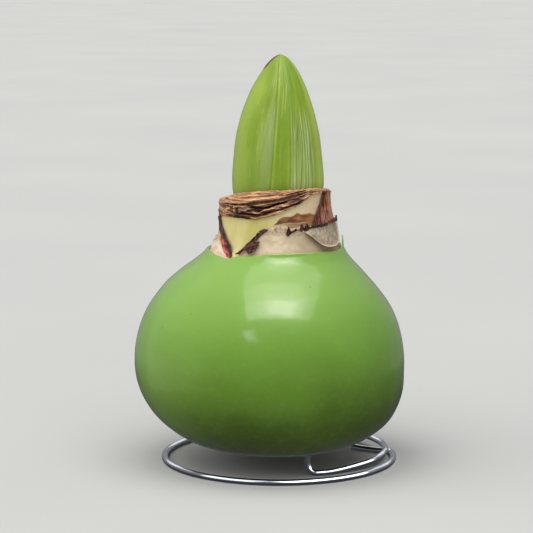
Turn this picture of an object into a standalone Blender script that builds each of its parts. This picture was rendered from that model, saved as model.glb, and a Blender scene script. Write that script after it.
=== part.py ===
"""A waxed amaryllis bulb on a stand bent from one wire, built at its real size.

The axis of the bulb's belly is the Z axis and the table is at Z = 0. The front of the
object faces -Y and +X is to its right. Azimuths run anticlockwise seen from above, from
+X, so the front is at 270 degrees. Lengths are named in millimetres and times MM they
are the metres that Blender works in.
"""

import math

import bmesh
import bpy
import numpy as np
from mathutils import Vector

MM = 0.001
GAP = 0.3                      # left between pieces that touch
SIDES = 40                     # facets round every turned piece
SHARP_FROM = 40                # degrees between facets from which an edge looks sharp
WELD = 0.000005                # metres within which points are welded
ABOVE = 110.0                  # a height above every cut on the neck

# The wax over the bulb, as (radius, height) from the underside up to the neck
WAX_OUTLINE = ((0.0, 3.9), (10.0, 4.3), (18.0, 5.3), (25.4, 7.3), (33.7, 11.2), (41.2, 17.3),
               (46.2, 25.8), (47.8, 35.6), (46.8, 45.5), (43.3, 54.7), (37.8, 62.7),
               (31.9, 68.6), (28.2, 72.6), (25.7, 75.0), (24.1, 77.2))
WAX_THICKNESS = 1.5
WAX_EDGE_THICKNESS = 0.6
WAX_THINS_FROM = 62.0          # height where the wax starts to thin towards its edge
WAX_WAVES_FROM = 70.0          # height where the wave of its edge starts to show
WAX_FOLLOWS = 0.75             # share of the outline's slope that the wave follows

# How far the wax edge lies over or under its mean height, as (azimuth, height)
WAX_EDGE = ((20, 0.7), (60, -0.5), (100, 0.4), (140, -0.7), (165, 0.1), (190, -0.3), (210, -0.9),
            (226, -1.6), (236, -0.6), (250, 0.1), (264, 0.8), (280, 1.1), (305, 0.9), (340, 0.3))

# How the middle of the bulb wanders from the axis, as (height, offset along +X)
LEAN = ((0.0, 2.6), (8.0, 2.3), (14.0, 1.6), (20.0, 0.9), (28.0, 0.2), (34.0, 0.0), (46.0, -0.1),
        (58.0, -0.3), (65.0, -0.2), (69.0, 0.3), (74.0, 1.5), (77.0, 2.0), (85.0, 1.8),
        (100.0, 1.5))
UNEVEN = 0.009                 # share of the radius by which the bulb is out of round
EVEN_FROM = 55.0               # height where it starts to turn round again
EVEN_OVER = 20.0               # and over how many millimetres

# The neck: the inner fleshy scale, and the outer scale wrapped round its foot
NECK_OUTLINE = ((22.6, 73.2), (21.3, 76.8), (20.4, 80.5), (19.8, 84.0), (19.2, 88.0),
                (18.8, 92.0), (18.6, 104.0))
SCALE_OUTLINE = ((24.2, 75.0), (23.0, 76.8), (22.5, 78.0), (21.7, 80.5), (20.9, 84.0),
                 (20.4, 88.0), (20.2, 91.0))
SCALE_SEAT = 73.2              # height where the outer scale stands on the bulb
SCALE_BARE_FROM = 75.0         # height where it comes out of the wax
SCALE_TOP = 90.0
NECK_LEVELS = (SCALE_SEAT, 76.8, 80.5, 84.0, 88.0, 92.0, 98.0, 104.0)
SCALE_LEVELS = (SCALE_SEAT + GAP, SCALE_BARE_FROM, 76.8, 78.0, 80.5, 84.0, 87.0, SCALE_TOP)

# The top edge of the outer scale, as (azimuth, height), torn in a V at the front left
SCALE_EDGE = ((0, 87.6), (40, 88.2), (75, 87.2), (110, 87.0), (150, 84.0), (176, 81.5),
              (183, 81.0), (196, 80.3), (206, 79.0), (214, 77.6), (224, 75.9), (231, 75.9),
              (237, 77.4), (243, 79.6), (249, 82.2), (256, 84.9), (264, 86.0), (280, 86.6),
              (300, 86.2), (330, 86.9))

# The lower edge of the papery scale, as (azimuth, height)
PAPERY_EDGE = ((301, 84.2), (307, 81.3), (316, 79.4), (330, 79.0), (340, 79.6), (350, 81.5),
               (358, 84.0), (366, 85.6), (376, 86.2))
PAPERY_TOP = 88.0
PAPERY_WAVE = 0.4
PAPERY_STAND = 0.9             # how far its free side stands off the bulb
PAPERY_LIFT = 0.7              # and its lower edge
PAPERY_TIP = 1.6               # and its dry tip at the upper right
PAPERY_THICKNESS = 0.6

# The dried skins as pairs of edges, left and right, each (azimuth, height) from foot to top
LEFT_SKIN = (((221.0, 76.8), (216.5, 78.5), (208.0, 80.8), (198.0, 83.8), (186.0, 87.4)),
             ((228.0, 76.8), (225.5, 78.7), (219.5, 81.2), (208.5, 84.6), (190.0, 88.0)))
FRONT_SKIN = (((236.5, 78.0), (242.5, 80.6), (249.5, 83.6), (256.5, 86.2)),
              ((250.0, 78.0), (254.0, 80.2), (255.5, 82.6), (260.5, 86.6)))
RIGHT_SKIN = (((310.0, 88.0), (316.0, 90.6), (322.0, 93.2), (326.0, 95.2)),
              ((344.0, 88.0), (350.0, 90.6), (352.0, 93.2), (352.0, 95.2)))
TORN_SKIN = (((276.0, 87.4), (274.0, 88.2), (273.0, 89.2)),
             ((306.0, 87.4), (308.0, 88.6), (311.0, 90.2)))
LEFT_SKIN_THICKNESS = 0.9
FRONT_SKIN_THICKNESS = 0.8
RIGHT_SKIN_THICKNESS = 0.8
TORN_SKIN_THICKNESS = 0.7

# The oblique cut across the top of the neck, as (offset along X, height)
CUT_LINE = ((-40.0, 92.0), (-13.0, 88.2), (4.0, 91.0), (14.0, 95.6), (20.0, 96.4), (40.0, 96.6))
CUT_NOD = -2.9                 # degrees by which the cut also rises towards the front

# The top edge of the innermost dried rim, as (azimuth, height)
RIM_EDGE = ((0, 97.2), (45, 96.4), (90, 95.4), (135, 94.0), (180, 94.8), (215, 96.4),
            (250, 97.9), (270, 98.2), (300, 98.8), (330, 98.4))
RIM_LEVEL = 98.0               # height where the neck and the bud are measured for the rims
RIM_SEAT = 0.5                 # how far the rims stand off the cut
RIM_LAP = 0.5                  # how far the outer rim hangs down over the edge of the cut
RIM_INSIDE = 16.6              # radius of the inner rim round the bud
OUTER_RIM_THICKNESS = 0.7
RIM_THICKNESS = 0.6
OUTER_RIM_LOW = 1.4            # height of the outer rim at its lowest, at the right
OUTER_RIM_MORE = 2.6           # and how much more it has at its tallest
OUTER_RIM_TALLEST = 215.0      # azimuth of that place
MIDDLE_RIM_FROM = 150.0
MIDDLE_RIM_TURN = 135.0
MIDDLE_RIM_TALL = 4.6
MIDDLE_RIM_LESS = 1.2          # how much lower its far end is

# The hole in the neck where the stalk and the foot of the bud stand
HOLE_X = 2.6
HOLE_RADIUS = 14.8
HOLE_FOOT_RADIUS = 13.6
HOLE_FLOOR = 62.0
HOLE_FLARE_FROM = 92.0
HOLE_FLARE_TO = 98.0
HOLE_MOUTH_RADIUS = 16.45
STALK_RADIUS = 13.2
STALK_TOP = 89.6

# The bud, as (radius, height), and how its middle wanders along +X with height
BUD_OUTLINE = ((0.0, 90.0), (12.6, 90.0), (14.2, 92.0), (15.4, 96.0), (16.1, 100.0),
               (16.0, 104.0), (15.6, 108.5), (15.2, 112.5), (14.6, 117.0), (13.7, 121.0),
               (12.6, 125.2), (11.2, 129.2), (9.5, 133.4), (7.3, 137.6), (4.7, 141.6),
               (2.3, 144.0), (0.0, 145.1))
BUD_LEAN = ((90.0, 2.6), (100.0, 2.9), (112.0, 2.8), (122.0, 2.85), (130.0, 3.05),
            (138.0, 3.5), (146.0, 3.8))
BUD_DEPTH = 0.95               # the bud is this much flatter from front to back
SEAM_LINE = ((88.0, 0.2), (98.0, 0.5), (108.0, 1.1), (118.0, 1.8), (125.0, 2.3),
             (132.0, 2.8), (140.0, 3.2), (147.0, 3.5))
SEAM_SPAN = (89.0, 146.0)      # heights between which the bud is parted
BUD_REACH = 30.0               # more than the bud measures from its middle to any side

# The wire stand
WIRE_RADIUS = 1.1
WIRE_FLAT = 0.15               # how much of the wire's underside is worn flat
RING_X = 3.3
RING_Y = 5.5
RING_RADIUS = 41.1
FIRST_TURN_RADIUS = 38.4
FIRST_TURN_RISE = 2.35         # the first turn rides this much over the free end
LEG_X = 13.1
LEG_Y = -21.1
LEG_TOP = 26.0
LEG_BEND = 3.4
LEG_HEADING = -12.0
LEG_HOLE_RADIUS = 1.5
LEG_RUN = ((21.0, -20.2, 0.0), (26.0, -17.3, 0.35), (31.0, -14.1, 0.9), (35.5, -10.6, 1.5))
FREE_END = ((43.6, 13.2), (42.6, 16.2), (40.2, 18.3), (36.0, 19.8), (31.0, 21.0))

# The shared in and out wave of the dried scale ends, as (waves round, size, start)
CRUMPLE = ((5, 0.16, 0.4), (9, 0.13, 2.1), (14, 0.09, 4.0))


def material(name, colour, roughness, metallic=0.0):
    """A plain Principled material."""
    made = bpy.data.materials.new(name)
    made.use_nodes = True
    shader = made.node_tree.nodes["Principled BSDF"]
    shader.inputs["Base Color"].default_value = (*colour, 1.0)
    shader.inputs["Roughness"].default_value = roughness
    shader.inputs["Metallic"].default_value = metallic
    made.diffuse_color = (*colour, 1.0)
    return made


def along(table, places):
    """A smooth curve read from a table of (place, value), without overshoot."""
    xs, ys = np.array(table, float).T
    steps = np.diff(ys) / np.diff(xs)
    before, after = steps[:-1], steps[1:]
    same_way = before * after > 0
    total = np.where(same_way, before + after, 1.0)
    inner = np.where(same_way, 2 * before * after / total, 0.0)
    slopes = np.concatenate([steps[:1], inner, steps[-1:]])
    places = np.clip(places, xs[0], xs[-1])
    span = np.clip(np.searchsorted(xs, places) - 1, 0, len(xs) - 2)
    width = xs[span + 1] - xs[span]
    t = (places - xs[span]) / width
    return ((2 * t**3 - 3 * t**2 + 1) * ys[span] + (t**3 - 2 * t**2 + t) * width * slopes[span]
            + (3 * t**2 - 2 * t**3) * ys[span + 1] + (t**3 - t**2) * width * slopes[span + 1])


def round_table(table, azimuth):
    """A smooth curve read from a table of (azimuth, value) that closes on itself."""
    first, last = table[0], table[-1]
    closed = ((last[0] - 360, last[1]), *table, (first[0] + 360, first[1]))
    return float(along(closed, azimuth % 360.0))


def through(points, per_span):
    """Points on one smooth curve through the given points."""
    given = [np.array(point, float) for point in points]
    padded = [2 * given[0] - given[1], *given, 2 * given[-1] - given[-2]]
    curve = []
    for a, b, c, d in zip(padded, padded[1:], padded[2:], padded[3:]):
        for step in range(per_span):
            t = step / per_span
            curve.append(0.5 * (2 * b + (c - a) * t + (2 * a - 5 * b + 4 * c - d) * t**2
                                + (3 * b - a - 3 * c + d) * t**3))
    curve.append(given[-1])
    return curve


def ease(t):
    """From 0 to 1 with a soft start and end."""
    t = min(max(t, 0.0), 1.0)
    return t * t * (3 - 2 * t)


def wax_thickness(height):
    thinning = ease((height - WAX_THINS_FROM) / (WAX_OUTLINE[-1][1] - WAX_THINS_FROM))
    return WAX_THICKNESS + (WAX_EDGE_THICKNESS - WAX_THICKNESS) * thinning


def inside_of(curve, depth):
    """The outline that lies depth(height) inside a turned outline."""
    inner = []
    for index, (radius, height) in enumerate(curve):
        before = curve[max(index - 1, 0)]
        after = curve[min(index + 1, len(curve) - 1)]
        way = Vector((after[0] - before[0], after[1] - before[1])).normalized()
        inner.append((max(radius - way.y * depth(height), 0.0), height + way.x * depth(height)))
    inner[0] = (0.0, curve[0][1] + depth(curve[0][1]))
    return inner


def radius_of(curve, height):
    """Radius of an outline at a height on its upper half."""
    upper = [point for point in curve if point[1] >= 30.0]
    radii, heights = np.array(upper, float).T
    return float(np.interp(height, heights, radii))


def neck_radius(height):
    return float(along([(z, r) for r, z in NECK_OUTLINE], height))


def scale_radius(height):
    return float(along([(z, r) for r, z in SCALE_OUTLINE], height))


def lean(height):
    return float(along(LEAN, height))


def settle(point):
    """Makes a turned point of the bulb as uneven as the real one and leans it."""
    x, y, z = point
    azimuth = math.atan2(y, x)
    uneven = UNEVEN * (math.sin(2 * azimuth) + 0.4 * math.sin(4 * azimuth))
    fade = 1 - ease((z - EVEN_FROM) / EVEN_OVER)
    swell = 1 + uneven * fade
    return Vector((x * swell + lean(z), y * swell, z))


def add_object(name, mesh, finish=None, home="waxed_amaryllis_bulb"):
    """Links a mesh as an object, smooth where it curves gently."""
    mesh.name = name
    piece = bpy.data.objects.new(name, mesh)
    bpy.data.collections[home].objects.link(piece)
    if finish:
        mesh.materials.clear()
        mesh.materials.append(finish)
        mesh.shade_smooth()
        mesh.set_sharp_from_angle(angle=math.radians(SHARP_FROM))
    return piece


def turned(outline):
    """Mesh of a closed outline turned round Z; the outline runs up its outer side in mm."""
    profile = bpy.data.meshes.new("outline")
    points = [(radius * MM, 0.0, height * MM) for radius, height in reversed(outline)]
    edges = [(index, index + 1) for index in range(len(points) - 1)]
    if outline[0][0] > 0:
        edges.append((len(points) - 1, 0))
    profile.from_pydata(points, edges, [])
    guide = bpy.data.objects.new("outline", profile)
    bpy.data.collections["cutters"].objects.link(guide)
    screw = guide.modifiers.new("turn", "SCREW")
    screw.steps = SIDES
    screw.render_steps = SIDES
    screw.use_merge_vertices = True
    screw.merge_threshold = 0.00001
    screw.use_normal_calculate = True
    mesh = evaluated(guide)
    bpy.data.objects.remove(guide)
    face_out(mesh)
    return mesh


def evaluated(source):
    """A mesh of an object with its modifiers applied, loose ends welded."""
    depsgraph = bpy.context.evaluated_depsgraph_get()
    mesh = bpy.data.meshes.new_from_object(source.evaluated_get(depsgraph))
    shape = bmesh.new()
    shape.from_mesh(mesh)
    bmesh.ops.remove_doubles(shape, verts=shape.verts, dist=WELD)
    bmesh.ops.dissolve_degenerate(shape, edges=shape.edges, dist=WELD)
    shape.to_mesh(mesh)
    shape.free()
    return mesh


def face_out(mesh):
    shape = bmesh.new()
    shape.from_mesh(mesh)
    bmesh.ops.recalc_face_normals(shape, faces=shape.faces)
    shape.to_mesh(mesh)
    shape.free()


def reshape(mesh, move):
    """Moves each point of a mesh; move takes and gives millimetres."""
    for vertex in mesh.vertices:
        vertex.co = Vector(move(vertex.co / MM)) * MM


def cut(piece, cutter, operation="DIFFERENCE"):
    """Applies a Boolean, takes the result as the piece's mesh, and drops the cutter."""
    step = piece.modifiers.new("cut", "BOOLEAN")
    step.operation = operation
    step.solver = "EXACT"
    step.object = cutter
    result = evaluated(piece)
    finish = piece.data.materials[0]
    piece.modifiers.clear()
    piece.data = result
    result.materials.clear()
    result.materials.append(finish)
    result.name = piece.name
    result.shade_smooth()
    result.set_sharp_from_angle(angle=math.radians(SHARP_FROM))
    bpy.data.objects.remove(cutter)


def round_cutter(x, y, low, high, low_radius, high_radius, sides=SIDES):
    """A cone or cylinder to cut with, standing on Z, in millimetres."""
    shape = bmesh.new()
    bmesh.ops.create_cone(shape, cap_ends=True, segments=sides, radius1=low_radius * MM,
                          radius2=high_radius * MM, depth=(high - low) * MM)
    bmesh.ops.translate(shape, verts=shape.verts, vec=Vector((x, y, (low + high) / 2)) * MM)
    mesh = bpy.data.meshes.new("round_cutter")
    shape.to_mesh(mesh)
    shape.free()
    return as_cutter(mesh)


def slab_cutter(outline, depth):
    """A flat outline in X and Z, in millimetres, drawn out along Y, to cut with."""
    shape = bmesh.new()
    corners = [shape.verts.new(Vector((x, -depth, z)) * MM) for x, z in outline]
    face = shape.faces.new(corners)
    grown = bmesh.ops.extrude_face_region(shape, geom=[face])
    moved = [item for item in grown["geom"] if isinstance(item, bmesh.types.BMVert)]
    bmesh.ops.translate(shape, verts=moved, vec=Vector((0, 2 * depth, 0)) * MM)
    bmesh.ops.recalc_face_normals(shape, faces=shape.faces)
    mesh = bpy.data.meshes.new("slab_cutter")
    shape.to_mesh(mesh)
    shape.free()
    return as_cutter(mesh)


def as_cutter(mesh):
    cutter = bpy.data.objects.new(mesh.name, mesh)
    bpy.data.collections["cutters"].objects.link(cutter)
    cutter.hide_render = True
    cutter.display_type = "WIRE"
    return cutter


def leg_hole(top):
    """A narrow cutter where the leg goes up into the bulb."""
    return round_cutter(LEG_X, LEG_Y, -LEG_BEND, top, LEG_HOLE_RADIUS, LEG_HOLE_RADIUS, sides=12)


def cut_height(x, y):
    """Height of the oblique cut across the neck."""
    return float(np.interp(x, *np.array(CUT_LINE).T)) + y * math.tan(math.radians(CUT_NOD))


def under_wax():
    """Outline of what the wax covers."""
    return inside_of(WAX_OUTLINE, lambda height: wax_thickness(height) + GAP)


def make_bulb(finish):
    body = [point for point in under_wax() if point[1] < SCALE_SEAT - 0.5]
    seat = (radius_of(under_wax(), SCALE_SEAT), SCALE_SEAT)
    neck = [(neck_radius(z), z) for z in NECK_LEVELS]
    outline = [*body, seat, *neck, (0.0, neck[-1][1])]
    mesh = turned(outline)
    reshape(mesh, settle)
    bulb = add_object("bulb", mesh, finish)
    side = CUT_LINE[-1][0]
    over = slab_cutter([*CUT_LINE, (side, ABOVE), (-side, ABOVE)], side)
    nod = math.tan(math.radians(CUT_NOD))
    reshape(over.data, lambda p: (p.x, p.y, p.z + p.y * nod))
    cut(bulb, over)
    cut(bulb, round_cutter(HOLE_X, 0, HOLE_FLOOR, ABOVE, HOLE_FOOT_RADIUS, HOLE_FOOT_RADIUS))
    cut(bulb, round_cutter(HOLE_X, 0, STALK_TOP, ABOVE, HOLE_RADIUS, HOLE_RADIUS))
    rise = (HOLE_MOUTH_RADIUS - HOLE_RADIUS) / (HOLE_FLARE_TO - HOLE_FLARE_FROM)
    top_radius = HOLE_RADIUS + rise * (ABOVE - HOLE_FLARE_FROM)
    cut(bulb, round_cutter(HOLE_X, 0, HOLE_FLARE_FROM, ABOVE, HOLE_RADIUS, top_radius))
    cut(bulb, leg_hole(LEG_TOP + GAP))


def make_wax(finish):
    outer = through(WAX_OUTLINE, 2)
    inner = inside_of(WAX_OUTLINE, wax_thickness)
    top = outer[-1][1]

    def wave(point):
        radius = math.hypot(point.x, point.y)
        share = ease((point.z - WAX_WAVES_FROM) / (top - WAX_WAVES_FROM))
        azimuth = math.atan2(point.y, point.x)
        lift = share * round_table(WAX_EDGE, math.degrees(azimuth))
        change = radius_of(outer, point.z + lift) - radius_of(outer, point.z)
        shifted = radius + WAX_FOLLOWS * change
        if radius < 0.001:
            return point
        return (point.x * shifted / radius, point.y * shifted / radius, point.z + lift)

    mesh = turned([*outer, *reversed(inner)])
    reshape(mesh, wave)
    reshape(mesh, settle)
    wax = add_object("wax_coat", mesh, finish)
    cut(wax, leg_hole(LEG_TOP))


def make_outer_scale(finish):
    """The thick scale round the foot of the neck, its top edge torn down in a V."""
    covered = under_wax()
    foot = SCALE_LEVELS[0]

    def outer(z):
        return radius_of(covered, z) if z <= SCALE_BARE_FROM else scale_radius(z)

    def inner(z):
        return neck_radius(z) + GAP

    ring = [(outer(z), z) for z in SCALE_LEVELS] + [(inner(z), z) for z in reversed(SCALE_LEVELS)]
    mesh = turned(ring)

    def tear(point):
        azimuth = math.degrees(math.atan2(point.y, point.x))
        radius = math.hypot(point.x, point.y)
        share = (point.z - foot) / (SCALE_TOP - foot)
        z = foot + share * (round_table(SCALE_EDGE, azimuth) - foot)
        across = (radius - inner(point.z)) / (outer(point.z) - inner(point.z))
        new = inner(z) + across * (outer(z) - inner(z))
        return (point.x * new / radius, point.y * new / radius, z)

    reshape(mesh, tear)
    reshape(mesh, settle)
    add_object("outer_scale", mesh, finish)


def make_stalk(finish):
    mesh = turned([(0.0, HOLE_FLOOR + GAP), (STALK_RADIUS, HOLE_FLOOR + GAP),
                   (STALK_RADIUS, STALK_TOP), (0.0, STALK_TOP)])
    reshape(mesh, lambda p: (p.x + HOLE_X, p.y, p.z))
    add_object("flower_stalk", mesh, finish)


def make_bud(left_finish, right_finish):
    """The bud, parted along its seam into the two bracts that enclose it."""
    low, high = SEAM_SPAN
    seam = [(float(along(SEAM_LINE, z)), z) for z in np.linspace(low, high, 20)]
    for name, finish, side in (("spathe_left", left_finish, -1), ("spathe_right", right_finish, 1)):
        mesh = turned(BUD_OUTLINE)
        reshape(mesh, lambda p: (p.x + float(along(BUD_LEAN, p.z)), p.y * BUD_DEPTH, p.z))
        bract = add_object(name, mesh, finish)
        half = [(x + side * GAP / 2, z) for x, z in seam]
        half += [(side * BUD_REACH, high), (side * BUD_REACH, low)]
        cut(bract, slab_cutter(half, BUD_REACH), "INTERSECT")


def sheet(name, finish, columns, rows, place, thickness):
    """A thin curved skin: place takes (across, up), both 0 to 1, and gives its inner face.

    Where its first and last columns meet, they are welded and it closes on itself.
    """
    shape = bmesh.new()
    bmesh.ops.create_grid(shape, x_segments=columns, y_segments=rows, size=0.5)
    for vertex in shape.verts:
        vertex.co = Vector(place(vertex.co.x + 0.5, vertex.co.y + 0.5)) * MM
    bmesh.ops.remove_doubles(shape, verts=shape.verts, dist=WELD)
    mesh = bpy.data.meshes.new(name)
    shape.to_mesh(mesh)
    shape.free()
    guide = bpy.data.objects.new(name, mesh)
    bpy.data.collections["cutters"].objects.link(guide)
    solid = guide.modifiers.new("skin", "SOLIDIFY")
    solid.thickness = thickness * MM
    solid.offset = 1.0
    result = evaluated(guide)
    bpy.data.objects.remove(guide)
    face_out(result)
    return add_object(name, result, finish)


def on_neck(azimuth, height, radius):
    turn = math.radians(azimuth)
    return Vector((radius * math.cos(turn) + lean(height), radius * math.sin(turn), height))


def crumple(azimuth):
    """The shared in and out wave of the dried scale ends, in millimetres."""
    turn = math.radians(azimuth)
    return sum(size * math.sin(count * turn + start) for count, size, start in CRUMPLE)


def make_dried_rims(finishes):
    """Dried scale ends in layers round the bud, standing on the oblique cut."""
    bud_x = float(along(BUD_LEAN, RIM_LEVEL))

    def wall(azimuth, height, radius):
        turn = math.radians(azimuth)
        return Vector((bud_x + radius * math.cos(turn), radius * math.sin(turn), height))

    def neck_from_bud(azimuth):
        """Distance from the bud's middle to the outside of the neck."""
        aside = bud_x - lean(RIM_LEVEL)
        return neck_radius(RIM_LEVEL) - aside * math.cos(math.radians(azimuth))

    def outer_place(across, up):
        azimuth = 360.0 * across
        radius = neck_from_bud(azimuth) + GAP + 0.25 + crumple(azimuth) * 0.5
        foot = wall(azimuth, 0, radius)
        low = cut_height(foot.x, foot.y) - RIM_LAP
        near = math.cos(math.radians(azimuth - OUTER_RIM_TALLEST))
        tall = OUTER_RIM_LOW + OUTER_RIM_MORE * ease((near + 0.5) / 1.4)
        return wall(azimuth, low + up * tall, radius)

    def inner_place(across, up):
        azimuth = 360.0 * across
        radius = RIM_INSIDE + 0.1 * (1 - up)
        foot = wall(azimuth, 0, radius)
        low = cut_height(foot.x, foot.y) + GAP + RIM_SEAT
        high = round_table(RIM_EDGE, azimuth) + 0.6 * crumple(3 * azimuth)
        return wall(azimuth, low + up * max(high - low, 1.0), radius)

    def middle_place(across, up):
        azimuth = MIDDLE_RIM_FROM + MIDDLE_RIM_TURN * across
        radius = neck_from_bud(azimuth) - GAP + crumple(azimuth) * 0.5
        foot = wall(azimuth, 0, radius)
        low = cut_height(foot.x, foot.y) + GAP + RIM_SEAT
        tall = MIDDLE_RIM_TALL - MIDDLE_RIM_LESS * across + 0.6 * crumple(2 * azimuth)
        return wall(azimuth, low + up * tall, radius)

    sheet("dried_rim_outer", finishes[0], 50, 2, outer_place, OUTER_RIM_THICKNESS)
    sheet("dried_rim_inner", finishes[2], 50, 2, inner_place, RIM_THICKNESS)
    sheet("dried_rim_middle", finishes[1], 28, 2, middle_place, RIM_THICKNESS)


def make_tunics(finishes):
    """The dried skins left on the outside of the neck."""

    def strip(edges, radius):
        """Places a skin between its two edges, at a radius that depends on the height."""
        steps = range(len(edges[0]))

        def place(across, up):
            share = up * steps[-1]
            (a, low), (b, high) = [[np.interp(share, steps, [point[k] for point in edge])
                                    for k in (0, 1)] for edge in edges]
            height = low + (high - low) * across
            return on_neck(a + (b - a) * across, height, radius(height) + GAP)
        return place

    sheet("tunic_left", finishes["red"], 4, 8, strip(LEFT_SKIN, neck_radius), LEFT_SKIN_THICKNESS)
    sheet("tunic_front", finishes["dark"], 5, 8, strip(FRONT_SKIN, scale_radius),
          FRONT_SKIN_THICKNESS)
    sheet("tunic_right", finishes["brown"], 8, 8, strip(RIGHT_SKIN, neck_radius),
          RIGHT_SKIN_THICKNESS)
    sheet("tunic_torn", finishes["orange"], 10, 3, strip(TORN_SKIN, neck_radius),
          TORN_SKIN_THICKNESS)


def make_papery_scale(finish):
    """The dry scale on the right of the neck, standing away from it at its free edges."""
    start, end = PAPERY_EDGE[0][0], PAPERY_EDGE[-1][0]

    def place(across, up):
        azimuth = start + (end - start) * across
        low = float(along(PAPERY_EDGE, azimuth))
        high = PAPERY_TOP + PAPERY_WAVE * math.sin(6 * across)
        height = low + (high - low) * up
        free_side = PAPERY_STAND * ease((across - 0.35) / 0.5)
        lifted = PAPERY_LIFT * (1 - up) * ease(across / 0.25)
        tip = PAPERY_TIP * ease((up - 0.5) / 0.5) * ease(1 - abs(across - 0.78) / 0.2)
        return on_neck(azimuth, height, scale_radius(height) + GAP + free_side + lifted + tip)

    sheet("papery_scale", finish, 20, 6, place, PAPERY_THICKNESS)


def make_stand(finish):
    """One wire: down the leg, out, once and a little more round, and under its own start."""
    floor = WIRE_RADIUS - WIRE_FLAT
    raised = floor + FIRST_TURN_RISE
    heading = math.radians(LEG_HEADING)
    route = [(LEG_X, LEG_Y, z) for z in (LEG_TOP, 18.0, 11.0, floor + LEG_BEND)]
    for turn in (22.5, 45.0, 67.5, 90.0):
        out = LEG_BEND * (1 - math.cos(math.radians(turn)))
        down = LEG_BEND * math.sin(math.radians(turn))
        route.append((LEG_X + out * math.cos(heading), LEG_Y + out * math.sin(heading),
                      floor + LEG_BEND - down))

    def on_ring(azimuth, radius, height):
        turn = math.radians(azimuth)
        return (RING_X + radius * math.cos(turn), RING_Y + radius * math.sin(turn), height)

    run = [route[-1], *((x, y, floor + rise) for x, y, rise in LEG_RUN),
           on_ring(-16.0, 37.6, floor + 2.1), on_ring(-6.0, 38.3, raised)]
    route += [tuple(point) for point in through(run, 3)[1:-1]]
    for azimuth in range(-6, 60, 6):
        route.append(on_ring(azimuth, FIRST_TURN_RADIUS, raised))
    for azimuth in range(60, 150, 6):
        share = ease((azimuth - 60) / 90)
        radius = FIRST_TURN_RADIUS + (RING_RADIUS - FIRST_TURN_RADIUS) * share
        route.append(on_ring(azimuth, radius, raised - FIRST_TURN_RISE * share))
    for azimuth in range(150, 367, 6):
        route.append(on_ring(azimuth, RING_RADIUS, floor))
    end = [route[-1], *((x, y, floor) for x, y in FREE_END)]
    route += [tuple(point) for point in through(end, 2)[1:]]

    wire = bpy.data.curves.new("wire", "CURVE")
    wire.dimensions = "3D"
    wire.bevel_depth = WIRE_RADIUS * MM
    wire.bevel_resolution = 2
    wire.use_fill_caps = True
    spline = wire.splines.new("POLY")
    spline.points.add(len(route) - 1)
    for point, place in zip(spline.points, route):
        point.co = (*(Vector(place) * MM), 1.0)
    guide = bpy.data.objects.new("wire", wire)
    bpy.data.collections["cutters"].objects.link(guide)
    mesh = evaluated(guide)
    bpy.data.objects.remove(guide)
    face_out(mesh)
    stand = add_object("wire_stand", mesh, finish)
    under = slab_cutter([(-80.0, -10.0), (80.0, -10.0), (80.0, 0.0), (-80.0, 0.0)], 80.0)
    cut(stand, under)


def main():
    for item in list(bpy.data.objects):
        bpy.data.objects.remove(item)
    for name in ("waxed_amaryllis_bulb", "cutters"):
        home = bpy.data.collections.new(name)
        bpy.context.scene.collection.children.link(home)
    make_stand(material("steel_wire", (0.55, 0.57, 0.60), 0.22, 1.0))
    make_wax(material("green_wax", (0.15, 0.31, 0.045), 0.2))
    make_bulb(material("bulb_flesh", (0.62, 0.60, 0.28), 0.45))
    make_outer_scale(material("cream_scale", (0.80, 0.72, 0.55), 0.5))
    make_stalk(material("stalk_green", (0.30, 0.45, 0.14), 0.5))
    make_bud(material("bract_left", (0.24, 0.33, 0.07), 0.4),
             material("bract_right", (0.30, 0.42, 0.09), 0.4))
    make_dried_rims([material("dried_tan", (0.34, 0.20, 0.10), 0.8),
                     material("dried_grey", (0.16, 0.11, 0.08), 0.8),
                     material("dried_ochre", (0.42, 0.27, 0.13), 0.8)])
    make_tunics({"red": material("dried_red", (0.09, 0.02, 0.015), 0.7),
                 "dark": material("dried_dark", (0.06, 0.04, 0.03), 0.7),
                 "brown": material("dried_fibre", (0.22, 0.12, 0.06), 0.8),
                 "orange": material("dried_orange", (0.33, 0.16, 0.06), 0.7)})
    make_papery_scale(material("papery", (0.50, 0.46, 0.37), 0.7))


main()
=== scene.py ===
"""The looks of a waxed amaryllis bulb: fine surfaces, finishes, studio light and camera.

Lengths are in millimetres unless a name ends in metres, in the part's own frame: the axis of
the bulb's belly is Z, the surface it stands on is Z = 0 and its front faces -Y. Azimuths are
in degrees, anticlockwise from +X seen from above, so the front is at 270.
"""
import math

import bmesh
import bpy
import numpy as np
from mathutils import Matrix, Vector, noise


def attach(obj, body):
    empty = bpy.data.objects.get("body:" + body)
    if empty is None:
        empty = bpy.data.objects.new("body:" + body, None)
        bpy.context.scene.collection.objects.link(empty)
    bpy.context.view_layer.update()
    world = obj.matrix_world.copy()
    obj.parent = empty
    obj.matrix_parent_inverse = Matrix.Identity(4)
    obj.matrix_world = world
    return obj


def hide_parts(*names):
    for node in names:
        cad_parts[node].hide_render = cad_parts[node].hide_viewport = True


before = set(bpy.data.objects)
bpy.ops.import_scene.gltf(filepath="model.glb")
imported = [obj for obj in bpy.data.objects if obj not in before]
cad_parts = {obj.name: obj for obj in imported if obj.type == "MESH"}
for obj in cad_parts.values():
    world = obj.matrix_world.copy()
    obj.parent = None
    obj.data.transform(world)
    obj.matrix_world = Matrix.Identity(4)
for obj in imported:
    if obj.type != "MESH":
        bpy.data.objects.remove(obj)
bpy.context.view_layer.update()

MM = 0.001
WELD_METRES = 0.000002         # points nearer than this become one
BORDER_SHARE = 0.18            # what is left of a skin's thickness at its border

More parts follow.
